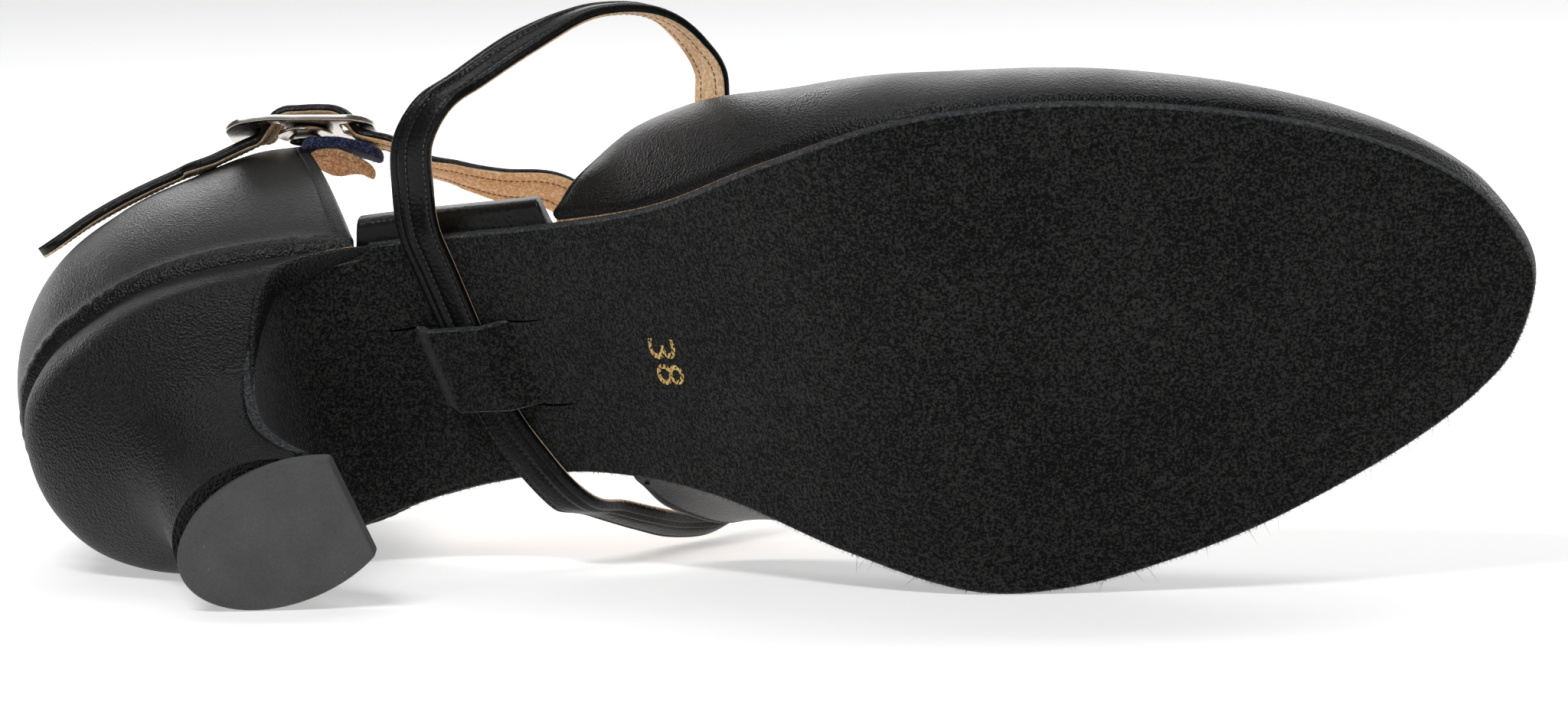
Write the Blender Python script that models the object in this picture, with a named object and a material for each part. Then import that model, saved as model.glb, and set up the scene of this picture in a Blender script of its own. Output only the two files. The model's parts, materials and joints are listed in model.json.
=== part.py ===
"""Right ballroom dance shoe with a low flared heel, an open waist and a strap that wraps the arch.

The shoe is modelled standing on its sole: X runs from the back of the heel to the toe, Y towards the
wearer's left, which is the medial side of this right shoe, and Z up from the floor under the ball.
The last step lays it down on its medial side, where it comes to rest on the edge of the top piece,
the edge of the sole at the ball and the side of the upper.
"""

import math

import bmesh
import bpy
import numpy as np
from mathutils import Matrix, Vector

# Sole
SOLE_LENGTH = 0.2500
BALL_WIDTH = 0.0794
WAIST_WIDTH = 0.0426
SEAT_WIDTH = 0.0497
SOLE_THICKNESS = 0.0026
TOE_SPRING = 0.0052
SEAT_LAP = 0.0040  # how far the sole runs flat in front of the seat before it turns down the breast
BALL_AT = 0.1627  # where the underside leaves the floor towards the heel
ROLL_AT = 0.1847  # where it leaves the floor towards the toe
# Heel
HEEL_HEIGHT = 0.0510  # floor to the underside of the sole at the seat
BREAST_AT = 0.0580  # front of the flat seat
BREAST_HOLLOW = 0.0138
TIP_LENGTH = 0.0303
TIP_WIDTH = 0.0226
TIP_FRONT_AT = 0.0608
TIP_CENTRE = 0.0037
TIP_TURN = 12.0  # degrees, back of the top piece towards the medial side
TOP_PIECE_THICKNESS = 0.0055
FLAP_THICKNESS = 0.0018
# Insole
INSOLE_THICKNESS = 0.0050
INSOLE_OVERHANG_LATERAL = 0.0038
INSOLE_OVERHANG_MEDIAL = 0.0012
INSOLE_STEP = 0.0020  # length in which its side steps out from under the upper
VAMP_BACK_GAP = 0.0008
# Upper
UPPER_WALL = 0.0017
UPPER_OVERHANG = 0.0004
COUNTER_HEIGHT = 0.0560
VAMP_HEIGHT = 0.0420
# Strap
STRAP_WIDTH = 0.0075
STRAP_THICKNESS = 0.0019
LOOP_AT = 0.0790
LOOP_LENGTH = 0.0147
LOOP_THICKNESS = 0.0016
LOOP_RAMP = 0.0045
LOOP_SINK = 0.0017  # how deep the ends of the band are rooted in the sole
# Buckle
PLATE_LENGTH = 0.0250
PLATE_WIDTH = 0.0135
PLATE_THICKNESS = 0.0011
PLATE_BOW = 0.0020
SLOT_LENGTH = 0.0068
SLOT_AT = 0.310  # middle of each slot, in shares of the plate's length from its middle
SNAP_DIAMETER = 0.0098
SNAP_HEIGHT = 0.0029
SNAP_BACK_DIAMETER = 0.0068
SNAP_BACK_THICKNESS = 0.0011
TAB_LENGTH = 0.0150
TAB_THICKNESS = 0.0019
TAB_LINING_THICKNESS = 0.0014

CLEARANCE = 0.0003

# Outline of the sole, in shares: along the length, medial and lateral half widths, and the width they follow.
OUTLINE_ROWS = [
    (0.006, 0.16, 0.19, SEAT_WIDTH),
    (0.027, 0.33, 0.32, SEAT_WIDTH),
    (0.058, 0.43, 0.41, SEAT_WIDTH),
    (0.100, 0.485, 0.485, SEAT_WIDTH),
    (0.150, 0.485, 0.512, SEAT_WIDTH),
    (0.220, 0.445, 0.500, SEAT_WIDTH),
    (0.300, 0.440, 0.580, WAIST_WIDTH),
    (0.380, 0.400, 0.606, WAIST_WIDTH),
    (0.460, 0.475, 0.681, WAIST_WIDTH),
    (0.540, 0.368, 0.450, BALL_WIDTH),
    (0.620, 0.470, 0.508, BALL_WIDTH),
    (0.680, 0.492, 0.506, BALL_WIDTH),
    (0.740, 0.475, 0.482, BALL_WIDTH),
    (0.800, 0.440, 0.436, BALL_WIDTH),
    (0.860, 0.385, 0.372, BALL_WIDTH),
    (0.912, 0.325, 0.295, BALL_WIDTH),
    (0.952, 0.262, 0.210, BALL_WIDTH),
    (0.980, 0.190, 0.118, BALL_WIDTH),
]
HEEL_END_SHARE = -0.02
TOE_END_SHARE = 0.045

# Heel sections, in shares: height, growth of the length and of the width from tip to seat,
# depth of the hollow in the breast, and width across the breast.
HEEL_ROWS = [
    (0.00, 0.00, 0.00, 0.00, 0.77),
    (0.10, 0.03, 0.00, 0.25, 0.76),
    (0.22, 0.09, 0.03, 0.60, 0.79),
    (0.34, 0.14, 0.07, 0.86, 0.86),
    (0.48, 0.26, 0.16, 0.98, 0.92),
    (0.60, 0.40, 0.28, 1.00, 0.93),
    (0.72, 0.57, 0.48, 0.96, 0.92),
    (0.82, 0.75, 0.68, 0.86, 0.91),
    (0.90, 0.88, 0.85, 0.70, 0.93),
    (0.96, 0.97, 0.96, 0.45, 0.96),
    (1.00, 1.00, 1.00, 0.08, 0.98),
]

# Vamp, in shares: place along the sole's edge from the lateral end round the toe to the medial end,
# then the topline over that place (length, half ball width, vamp height) and the swell of the wall
# in vamp heights.
VAMP_ROWS = [
    (0.00, 0.391, -0.700, 0.06, 0.024),
    (0.02, 0.404, -0.780, 0.17, 0.071),
    (0.04, 0.420, -0.815, 0.40, 0.119),
    (0.06, 0.440, -0.870, 0.56, 0.167),
    (0.09, 0.484, -0.925, 0.72, 0.190),
    (0.15, 0.564, -0.850, 0.89, 0.167),
    (0.22, 0.632, -0.740, 0.96, 0.119),
    (0.30, 0.688, -0.516, 0.99, 0.129),
    (0.40, 0.720, -0.227, 1.00, 0.129),
    (0.50, 0.728, 0.025, 1.00, 0.100),
    (0.60, 0.722, 0.252, 1.00, 0.076),
    (0.70, 0.692, 0.540, 0.99, 0.067),
    (0.78, 0.632, 0.740, 0.96, 0.062),
    (0.85, 0.564, 0.820, 0.89, 0.071),
    (0.91, 0.488, 0.840, 0.70, 0.086),
    (0.94, 0.448, 0.830, 0.48, 0.081),
    (0.96, 0.430, 0.750, 0.33, 0.071),
    (0.98, 0.416, 0.645, 0.17, 0.043),
    (1.00, 0.406, 0.516, 0.06, 0.019),
]
VAMP_BACK_LATERAL = 0.390
VAMP_BACK_MEDIAL = 0.404
VAMP_LEAN = (0.0, 0.40, 0.45, 0.72)

# Counter, in shares: place from the lateral front round the back to the medial front, then the
# top edge over that place (length, half ball width, counter height) and the swell of the wall in
# counter heights.
COUNTER_ROWS = [
    (0.00, 0.184, -0.756, 0.990, 0.080),
    (0.10, 0.150, -0.746, 0.973, 0.089),
    (0.20, 0.108, -0.705, 0.943, 0.093),
    (0.30, 0.062, -0.637, 0.920, 0.104),
    (0.40, 0.016, -0.466, 0.902, 0.114),
    (0.50, -0.010, -0.025, 0.893, 0.114),
    (0.60, 0.018, 0.416, 0.902, 0.100),
    (0.70, 0.064, 0.617, 0.920, 0.096),
    (0.80, 0.112, 0.693, 0.943, 0.093),
    (0.90, 0.156, 0.730, 0.973, 0.089),
    (1.00, 0.192, 0.743, 0.990, 0.080),
]
COUNTER_FRONT_LATERAL = 0.242
COUNTER_FRONT_MEDIAL = 0.258
COUNTER_LEAN = (0.33, 0.33, 0.67, 0.67)

# Middle of the strap under the sole, in half waist widths from the middle of the shoe, and on the
# medial side also its veer towards the toe.
UNDER_ARCH = (-0.094, -0.376, -0.657, -0.939, -1.221)
UNDER_ANKLE = ((-0.070, 0.0), (0.188, 0.0), (0.423, 0.042), (0.657, 0.122))

# Strap routes beyond the sole, in shares: length, half ball width and counter height above the sole,
# with the way the grain side faces.
ARCH_ROWS = [
    (0.298, -0.860, -0.095, -0.35, -0.20, -0.92),
    (0.306, -1.070, -0.075, -0.35, -0.50, -0.79),
    (0.323, -1.190, -0.01, -0.45, -0.65, -0.61),
    (0.346, -1.240, 0.12, -0.45, -0.76, -0.47),
    (0.389, -1.335, 0.31, -0.30, -0.88, -0.36),
    (0.436, -1.370, 0.55, -0.05, -1.00, 0.08),
    (0.477, -1.270, 0.74, 0.35, -0.88, 0.33),
    (0.494, -1.110, 0.80, 0.62, -0.50, 0.60),
    (0.500, -1.000, 0.79, 0.68, -0.10, 0.72),
    (0.498, -0.890, 0.75, 0.66, 0.10, 0.74),
    (0.500, -0.620, 0.70, 0.45, 0.05, 0.89),
    (0.512, -0.200, 0.74, 0.30, 0.00, 0.95),
    (0.528, 0.250, 0.76, 0.25, 0.10, 0.96),
    (0.545, 0.585, 0.69, 0.20, 0.45, 0.87),
    (0.555, 0.725, 0.55, 0.10, 0.85, 0.50),
    (0.558, 0.760, 0.40, 0.05, 0.98, 0.15),
]
ANKLE_ROWS = [
    (0.355, 0.545, -0.055, -0.38, 0.35, -0.86),
    (0.374, 0.680, 0.14, -0.25, 0.62, -0.74),
    (0.396, 0.812, 0.32, -0.05, 0.76, -0.65),
    (0.414, 0.930, 0.52, 0.15, 0.80, -0.58),
    (0.437, 1.000, 0.72, 0.35, 0.88, -0.33),
    (0.460, 0.960, 0.98, 0.55, 0.82, 0.15),
    (0.462, 0.760, 1.18, 0.52, 0.62, 0.58),
    (0.445, 0.450, 1.26, 0.38, 0.25, 0.89),
    (0.415, 0.080, 1.21, 0.15, -0.10, 0.98),
    (0.385, -0.220, 1.07, -0.05, -0.35, 0.94),
    (0.358, -0.430, 0.95, -0.12, -0.48, 0.87),
    (0.326, -0.490, 0.87, -0.13, -0.52, 0.84),
    (0.296, -0.555, 0.87, -0.10, -0.60, 0.79),
    (0.264, -0.630, 0.92, -0.02, -0.72, 0.69),
]
TAIL_ROWS = [
    (0.104, -0.780, 0.935, 0.02, -0.92, 0.39),
    (0.068, -0.745, 0.885, -0.20, -0.90, 0.38),
    (0.032, -0.665, 0.820, -0.36, -0.86, 0.37),
    (-0.003, -0.595, 0.755, -0.42, -0.83, 0.36),
]

# Buckle, in shares of the same three sizes, with the way the strap runs and the plate faces.
BUCKLE_AT = (0.187, -0.838, 0.962)
BUCKLE_ALONG = (-0.985, -0.145, 0.0)
BUCKLE_FACES = (0.14, -0.93, 0.34)
# Strap through the buckle, in shares: place along the plate, and height over it.
THROUGH_ROWS = [
    (-0.64, -1.30),
    (-0.52, -1.22),
    (-0.415, -0.98),
    (-0.31, 0.00),
    (-0.205, 0.98),
    (-0.11, 1.05),
    (0.00, 1.06),
    (0.11, 1.05),
    (0.205, 0.98),
    (0.31, 0.00),
    (0.415, -0.98),
    (0.52, -1.35),
    (0.64, -1.90),
]
# Outline of the tab that carries the press stud, in shares of its length: forward of the stud, and down.
TAB_OUTLINE = [
    (0.060, -0.227),
    (0.160, 0.280),
    (0.400, 0.293),
    (0.733, 0.280),
    (0.920, 0.187),
    (1.000, 0.027),
    (0.920, -0.133),
    (0.733, -0.227),
    (0.400, -0.240),
]
TAB_SLOPE = 0.125

STATIONS = 44
RIM_STATIONS = 80
WALL_STEPS = 9
STRAP_STEP = 0.0042

COLOURS = {
    "suede": ((0.018, 0.018, 0.019), 0.95, 0.0),
    "leather": ((0.010, 0.010, 0.011), 0.42, 0.0),
    "rubber": ((0.060, 0.060, 0.060), 0.75, 0.0),
    "insole": ((0.012, 0.012, 0.012), 0.5, 0.0),
    "strap_leather": ((0.010, 0.010, 0.011), 0.38, 0.0),
    "navy_suede": ((0.014, 0.019, 0.060), 0.95, 0.0),
    "tan_suede": ((0.500, 0.310, 0.170), 0.95, 0.0),
    "nickel": ((0.55, 0.53, 0.49), 0.28, 1.0),
}
# Typical weights of the pieces, in kilograms per cubic metre, to find how the shoe comes to rest.
DENSITIES = {
    "suede": 700.0,
    "leather": 900.0,
    "rubber": 1100.0,
    "insole": 800.0,
    "strap_leather": 900.0,
    "navy_suede": 700.0,
    "tan_suede": 700.0,
    "nickel": 7800.0,
}


def clear_scene():
    for thing in list(bpy.data.objects):
        bpy.data.objects.remove(thing)


def material(name):
    found = bpy.data.materials.get(name)
    if found:
        return found
    made = bpy.data.materials.new(name)
    made.use_nodes = True
    shader = made.node_tree.nodes["Principled BSDF"]
    colour, roughness, metallic = COLOURS[name]
    shader.inputs["Base Color"].default_value = (*colour, 1.0)
    shader.inputs["Roughness"].default_value = roughness
    shader.inputs["Metallic"].default_value = metallic
    made.diffuse_color = (*colour, 1.0)
    return made


def smooth_table(keys, rows, at):
    """Rows read at any place between their keys, along a smooth curve through them."""
    keys = np.asarray(keys, float)
    rows = np.asarray(rows, float)
    at = np.clip(np.atleast_1d(np.asarray(at, float)), keys[0], keys[-1])
    slopes = np.gradient(rows, keys, axis=0)
    i = np.clip(np.searchsorted(keys, at, side="right") - 1, 0, len(keys) - 2)
    step = (keys[i + 1] - keys[i])[:, None]
    t = (at[:, None] - keys[i][:, None]) / step
    return (
        (2 * t**3 - 3 * t**2 + 1) * rows[i]
        + (t**3 - 2 * t**2 + t) * step * slopes[i]
        + (3 * t**2 - 2 * t**3) * rows[i + 1]
        + (t**3 - t**2) * step * slopes[i + 1]
    )


def lengths_along(points):
    steps = np.linalg.norm(np.diff(points, axis=0), axis=1)
    return np.concatenate([[0.0], np.cumsum(steps)])


def unit(vectors):
    vectors = np.asarray(vectors, float)
    return vectors / np.linalg.norm(vectors, axis=-1, keepdims=True)


def underside(x):
    """Height of the sole's underside: flat seat, arch, flat ball and toe spring."""
    x = np.asarray(x, float)
    rise = np.clip((BALL_AT - x) / (BALL_AT - BREAST_AT), 0.0, 1.0)
    roll = np.clip((x - ROLL_AT) / (SOLE_LENGTH - ROLL_AT), 0.0, None)
    return HEEL_HEIGHT * (3 * rise**2 - 2 * rise**3) + TOE_SPRING * roll**1.8


def sole_top(x):
    return underside(x) + SOLE_THICKNESS


def edge_curve():
    """The sole's outline as a dense closed line: back of the heel, lateral side, toe, medial side."""
    rows = OUTLINE_ROWS
    lateral = [(x * SOLE_LENGTH, -half * width) for x, _, half, width in rows]
    medial = [(x * SOLE_LENGTH, half * width) for x, half, _, width in rows]
    heel_end = (0.0, HEEL_END_SHARE * SEAT_WIDTH)
    toe_end = (SOLE_LENGTH, TOE_END_SHARE * BALL_WIDTH)
    ring = np.array([heel_end, *lateral, toe_end, *reversed(medial)])
    wrap = 3
    padded = np.vstack([ring[-wrap:], ring, ring[: wrap + 1]])
    keys = np.concatenate([[0.0], np.cumsum(np.linalg.norm(np.diff(padded, axis=0), axis=1) ** 0.5)])
    at = np.linspace(keys[wrap], keys[wrap + len(ring)], 2001)
    return smooth_table(keys, padded, at)


EDGE = edge_curve()
TOE_INDEX = int(np.argmax(EDGE[:, 0]))
EDGE_TANGENTS = unit(np.gradient(EDGE, axis=0))
EDGE_NORMALS = np.column_stack([EDGE_TANGENTS[:, 1], -EDGE_TANGENTS[:, 0]])


def half_widths(x, line=EDGE):
    """Y of the lateral and the medial edge of the sole, or of a line like it, at x."""
    toe = int(np.argmax(line[:, 0]))
    lateral, medial = line[: toe + 1], line[toe:][::-1]
    order = np.argsort(lateral[:, 0], kind="stable")
    other = np.argsort(medial[:, 0], kind="stable")
    return (
        np.interp(x, lateral[order, 0], lateral[order, 1]),
        np.interp(x, medial[other, 0], medial[other, 1]),
    )


def edge_stretch(x_lateral, x_medial, count, by_toe):
    """Evenly spaced points of the edge, and their outward directions, round the toe or the heel."""
    start = int(np.argmax(EDGE[: TOE_INDEX + 1, 0] >= x_lateral))
    end = TOE_INDEX + int(np.argmax(EDGE[TOE_INDEX:, 0] <= x_medial))
    if by_toe:
        order = np.arange(start, end + 1)
    else:
        order = np.concatenate([np.arange(start, -1, -1), np.arange(len(EDGE) - 2, end - 1, -1)])
    line = EDGE[order]
    length = lengths_along(line)
    at = np.linspace(0.0, length[-1], count)
    points = np.column_stack([np.interp(at, length, line[:, k]) for k in (0, 1)])
    normals = np.column_stack([np.interp(at, length, EDGE_NORMALS[order, k]) for k in (0, 1)])
    return points, unit(normals)


def turn_faces_out(mesh):
    work = bmesh.new()
    work.from_mesh(mesh)
    bmesh.ops.recalc_face_normals(work, faces=work.faces)
    if work.calc_volume(signed=True) < 0:
        bmesh.ops.reverse_faces(work, faces=work.faces)
    work.to_mesh(mesh)
    work.free()


def add_object(name, verts, faces, slot):
    mesh = bpy.data.meshes.new(name)
    mesh.from_pydata([tuple(map(float, v)) for v in verts], [], faces)
    mesh.update()
    turn_faces_out(mesh)
    mesh.materials.append(material(slot))
    mesh.shade_smooth()
    mesh.set_sharp_from_angle(angle=math.radians(40.0))
    made = bpy.data.objects.new(name, mesh)
    bpy.context.scene.collection.objects.link(made)
    return made


def loft(name, rings, slot):
    """A solid through closed rings of equal count, with both ends filled."""
    count = len(rings[0])
    verts = np.vstack(rings)
    faces = []
    for i in range(len(rings) - 1):
        for j in range(count):
            k = (j + 1) % count
            faces.append((i * count + j, i * count + k, (i + 1) * count + k, (i + 1) * count + j))
    faces.append(tuple(range(count)))
    faces.append(tuple((len(rings) - 1) * count + j for j in range(count)))
    return add_object(name, verts, faces, slot)


def wall(name, outer, inner, slot):
    """A solid between two grids of points that match row for row, closed round its rim."""
    rows, columns = outer.shape[:2]
    size = rows * columns
    verts = np.vstack([outer.reshape(-1, 3), inner.reshape(-1, 3)])
    faces = []
    for i in range(rows - 1):
        for j in range(columns - 1):
            a, b = i * columns + j, i * columns + j + 1
            c, d = (i + 1) * columns + j + 1, (i + 1) * columns + j
            faces.append((a, b, c, d))
            faces.append((size + d, size + c, size + b, size + a))
    top = [j for j in range(columns)]
    right = [i * columns + columns - 1 for i in range(1, rows)]
    bottom = [(rows - 1) * columns + j for j in range(columns - 2, -1, -1)]
    left = [i * columns for i in range(rows - 2, 0, -1)]
    rim = top + right + bottom + left
    for k, a in enumerate(rim):
        b = rim[(k + 1) % len(rim)]
        faces.append((b, a, size + a, size + b))
    return add_object(name, verts, faces, slot)


def long_stations(start, end, count, ease_start, ease_end):
    """Places along the length, closer together at an end that is rounded."""
    t = np.linspace(0.0, 1.0, count)
    if ease_start and ease_end:
        t = (1 - np.cos(math.pi * t)) / 2
    elif ease_end:
        t = np.sin(math.pi * t / 2)
    return start + (end - start) * t


def heel_sections(shares):
    """Breast centre, turn, length and half widths of the heel at each share of its height."""
    rows = np.array(HEEL_ROWS)
    read = smooth_table(rows[:, 0], rows[:, 1:], shares)
    seat_lateral, seat_medial = half_widths(0.4 * BREAST_AT)
    sections = []
    for h, (long_grow, wide_grow, hollow, across) in zip(shares, read):
        back = (TIP_FRONT_AT - TIP_LENGTH) * (1 - long_grow)
        front = TIP_FRONT_AT + (BREAST_AT - TIP_FRONT_AT) * h - BREAST_HOLLOW * hollow
        half = TIP_WIDTH / 2 + (SEAT_WIDTH - TIP_WIDTH) / 2 * wide_grow
        centre = TIP_CENTRE * (1 - h) + (seat_lateral + seat_medial) / 2 * h
        turn = math.radians(TIP_TURN) * (1 - h) ** 1.5
        sections.append((front, centre, turn, front - back, half, across * half))
    return sections


def section_ring(front, centre, turn, length, half, breast_half, z, count=24):
    """A D with a round back and a straight breast, turned about the middle of its breast."""
    long_axis = 0.60 * length
    fore = length - long_axis
    fore_axis = fore / math.sqrt(max(1e-6, 1 - (breast_half / half) ** 2))
    end_angle = math.asin(min(1.0, fore / fore_axis))
    angles = np.linspace(-(math.pi / 2 + end_angle), math.pi / 2 + end_angle, count)
    x = np.where(np.abs(angles) <= math.pi / 2, -long_axis * np.cos(angles), -fore_axis * np.cos(angles))
    y = half * np.sin(angles)
    local = np.column_stack([x - fore, y])
    cos, sin = math.cos(-turn), math.sin(-turn)
    turned = local @ np.array([[cos, sin], [-sin, cos]])
    return np.column_stack([turned[:, 0] + front, turned[:, 1] + centre, np.full(count, z)])


def seat_follow(h):
    """How far a heel section has taken on the outline of the sole above it."""
    t = np.clip((h - 0.55) / 0.45, 0.0, 1.0)
    return float(3 * t**2 - 2 * t**3)


def breast_line(count):
    """The grain side of the breast flap from the seat to the top piece, and the way into the heel."""
    low = TOP_PIECE_THICKNESS + CLEARANCE
    heights = np.linspace(0.985, low / HEEL_HEIGHT, count)
    sections = heel_sections(heights)
    path = np.array([(s[0], HEEL_HEIGHT * h) for h, s in zip(heights, sections)])
    tangents = unit(np.gradient(path, axis=0))
    level = np.clip((path[:, 1] - low) / TOP_PIECE_THICKNESS, 0.0, 1.0)
    inward = unit(np.column_stack([tangents[:, 1], -tangents[:, 0] * level]))
    return heights, sections, path, inward


def build_outsole():
    stations = long_stations(BREAST_AT + SEAT_LAP, 0.9998 * SOLE_LENGTH, STATIONS, False, True)[::-1]
    rings = []
    for x in stations:
        lateral, medial = half_widths(x)
        low, high = float(underside(x)), float(sole_top(x))
        rings.append(np.array([(x, lateral, low), (x, medial, low), (x, medial, high), (x, lateral, high)]))
    heights, sections, path, inward = breast_line(15)
    for h, (x, z), (nx, nz), section in zip(heights, path, inward, sections):
        front, centre, turn, _, _, across = section
        ends = []
        follow = seat_follow(h)
        for side, edge in zip((-1, 1), half_widths(x)):
            dx, dy = -side * across * math.sin(-turn), side * across * math.cos(turn)
            ends.append((x + dx * (1 - follow), (centre + dy) * (1 - follow) + edge * follow, z))
        thick = FLAP_THICKNESS + (SOLE_THICKNESS - FLAP_THICKNESS) * h**6
        back = np.array([nx * thick, 0.0, nz * thick])
        lateral, medial = np.array(ends[0]), np.array(ends[1])
        rings.append(np.array([lateral, medial, medial + back, lateral + back]))
    return loft("outsole", rings, "suede")


def strap_x_at(y):
    """Middle of the strap under the sole, which crosses it at a slant."""
    return LOOP_AT + 0.19 * y


def underside_normal(x):
    step = 1e-4
    slope = (underside(x + step) - underside(x - step)) / (2 * step)
    return unit(np.array([float(slope), 0.0, -1.0]))


def build_loop(outsole):
    """The raised band that the strap runs under, left standing between two slits of the sole."""
    rise = 2 * CLEARANCE + STRAP_THICKNESS
    half_flat = STRAP_WIDTH / 2 + 2 * CLEARANCE
    half_all = half_flat + LOOP_RAMP
    near, far = -0.68 * LOOP_LENGTH, 0.32 * LOOP_LENGTH
    offsets = np.linspace(-1.0, 1.0, 15)
    rings = []
    for s in offsets:
        along = s * half_all
        ramp = np.clip((half_all - abs(along)) / LOOP_RAMP, 0.0, 1.0)
        lift = rise * (3 * ramp**2 - 2 * ramp**3)
        ring = []
        top = lift + LOOP_THICKNESS
        for y, depth in ((near, top), (far, top), (far, lift), (near, lift)):
            x = strap_x_at(y) + along
            sink = LOOP_SINK * (1 - ramp)
            foot = np.array([x, y, float(underside(x))])
            ring.append(foot + underside_normal(x) * (depth - sink))
        rings.append(np.array(ring))
    band = loft("loop_band", rings, "suede")
    band.hide_render = True
    band.display_type = "WIRE"
    union = outsole.modifiers.new("loop", "BOOLEAN")
    union.operation = "UNION"
    union.object = band


def build_heel():
    top_share = (TOP_PIECE_THICKNESS + CLEARANCE) / HEEL_HEIGHT
    seat_top = HEEL_HEIGHT + SOLE_THICKNESS
    shares = np.concatenate([np.linspace(top_share, 0.90, 13), [0.945, 0.98]])
    seat_levels = seat_top - SOLE_THICKNESS * np.array([1.0, 0.46, 0.19, 0.0])
    levels = np.concatenate([shares * HEEL_HEIGHT, seat_levels])
    heights, _, path, inward = breast_line(40)
    gap = FLAP_THICKNESS + (SOLE_THICKNESS - FLAP_THICKNESS) * heights**6 + CLEARANCE
    hidden = path + inward * gap[:, None]
    seat_front = (BREAST_AT + SEAT_LAP, seat_top + CLEARANCE)
    hidden = np.vstack([seat_front, hidden])
    order = np.argsort(hidden[:, 1])
    rings = []
    for z in levels:
        h = min(z / HEEL_HEIGHT, 1.0)
        front, centre, turn, length, half, across = heel_sections([h])[0]
        behind = float(np.interp(z, hidden[order, 1], hidden[order, 0]))
        if z < HEEL_HEIGHT:
            behind = min(behind, front - FLAP_THICKNESS - CLEARANCE)
        ring = section_ring(behind, centre, turn, length - (front - behind), half, across, z)
        outline, _ = edge_stretch(behind, behind, len(ring), False)
        follow = seat_follow(h)
        ring[:, :2] = ring[:, :2] * (1 - follow) + outline * follow
        rings.append(ring)
    return loft("heel_block", rings, "leather")


def build_top_piece():
    front, centre, turn, length, half, across = heel_sections([0.0])[0]
    rings = [section_ring(front, centre, turn, length, half, across, z) for z in (0.0, TOP_PIECE_THICKNESS)]
    return loft("top_piece", rings, "rubber")


def insole_side(x, covered, edge, overhang, front, back):
    """Y of one side of the insole: inside the upper's wall, or wrapped out past the sole between them."""
    opening = np.clip(min(x - front - CLEARANCE, back - x - VAMP_BACK_GAP) / INSOLE_STEP, 0.0, 1.0)
    opening = 3 * opening**2 - 2 * opening**3
    return covered * (1 - opening) + (edge + overhang) * opening


def build_insole():
    inset = EDGE + EDGE_NORMALS * (UPPER_OVERHANG - UPPER_WALL - 1.5 * CLEARANCE)
    start, end = inset[:, 0].min() + 0.7 * CLEARANCE, inset[:, 0].max() - 0.7 * CLEARANCE
    even = long_stations(start, end, STATIONS + 8, True, True)
    near = []
    for step in INSOLE_STEP * np.array([0.15, 0.50, 0.85, 1.20]):
        near += [share * SOLE_LENGTH + step for share in (COUNTER_FRONT_LATERAL, COUNTER_FRONT_MEDIAL)]
        back = step + VAMP_BACK_GAP - CLEARANCE
        near += [share * SOLE_LENGTH - back for share in (VAMP_BACK_LATERAL, VAMP_BACK_MEDIAL)]
    stations = np.sort(np.concatenate([even, near]))
    stations = stations[np.concatenate([[True], np.diff(stations) > 0.7 * CLEARANCE])]
    low, high = CLEARANCE, CLEARANCE + INSOLE_THICKNESS
    edge = 0.25 * INSOLE_THICKNESS
    rings = []
    for x in stations:
        covered_l, covered_m = half_widths(x, inset)
        edge_l, edge_m = half_widths(x)
        lateral_open = COUNTER_FRONT_LATERAL * SOLE_LENGTH, VAMP_BACK_LATERAL * SOLE_LENGTH
        medial_open = COUNTER_FRONT_MEDIAL * SOLE_LENGTH, VAMP_BACK_MEDIAL * SOLE_LENGTH
        lateral = insole_side(x, covered_l, edge_l, -INSOLE_OVERHANG_LATERAL, *lateral_open)
        medial = insole_side(x, covered_m, edge_m, INSOLE_OVERHANG_MEDIAL, *medial_open)
        room = min(1.0, (medial - lateral) / (6 * edge))
        z = float(sole_top(x))
        corner = edge * room
        rings.append(
            np.array(
                [
                    (x, lateral + corner, z + low),
                    (x, medial - corner, z + low),
                    (x, medial, z + low + edge),
                    (x, medial, z + high - edge),
                    (x, medial - corner, z + high),
                    (x, lateral + corner, z + high),
                    (x, lateral, z + high - edge),
                    (x, lateral, z + low + edge),
                ]
            )
        )
    return loft("insole", rings, "insole")


def upper_grid(rows, lean, points, normals, height, columns):
    """Points of an upper's outer face: from the sole's edge up to its topline, station by station."""
    rows = np.array(rows)
    shares = np.linspace(0.0, 1.0, len(points))
    read = smooth_table(rows[:, 0], rows[:, 1:], shares)
    foot = points + normals * UPPER_OVERHANG
    grid = np.zeros((columns, len(points), 3))
    t = np.linspace(0.0, 1.0, columns)[:, None]
    for k, (x_share, y_share, rise, swell) in enumerate(read):
        start = np.array([*foot[k], float(sole_top(points[k, 0])) + CLEARANCE])
        end_x = x_share * SOLE_LENGTH
        end = np.array([end_x, y_share * BALL_WIDTH / 2, float(sole_top(end_x)) + rise * height])
        out = np.array([*normals[k], 0.0]) * swell * height
        across = np.array([*(end - start)[:2], 0.0])
        up = np.array([0.0, 0.0, (end - start)[2]])
        first = start + across * lean[0] + up * lean[1] + out
        second = start + across * lean[2] + up * lean[3] + out
        grid[:, k] = (
            (1 - t) ** 3 * start
            + 3 * (1 - t) ** 2 * t * first
            + 3 * (1 - t) * t**2 * second
            + t**3 * end
        )
    return grid


def inner_grid(outer, foot_normals):
    """The lining face, one wall inside the outer one and level with it along the sole."""
    along = np.gradient(outer, axis=1)
    up = np.gradient(outer, axis=0)
    normal = unit(np.cross(along, up))
    inner = outer - normal * UPPER_WALL
    inner[0, :, :2] = outer[0, :, :2] - foot_normals * UPPER_WALL
    inner[0, :, 2] = outer[0, :, 2]
    return inner


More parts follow.
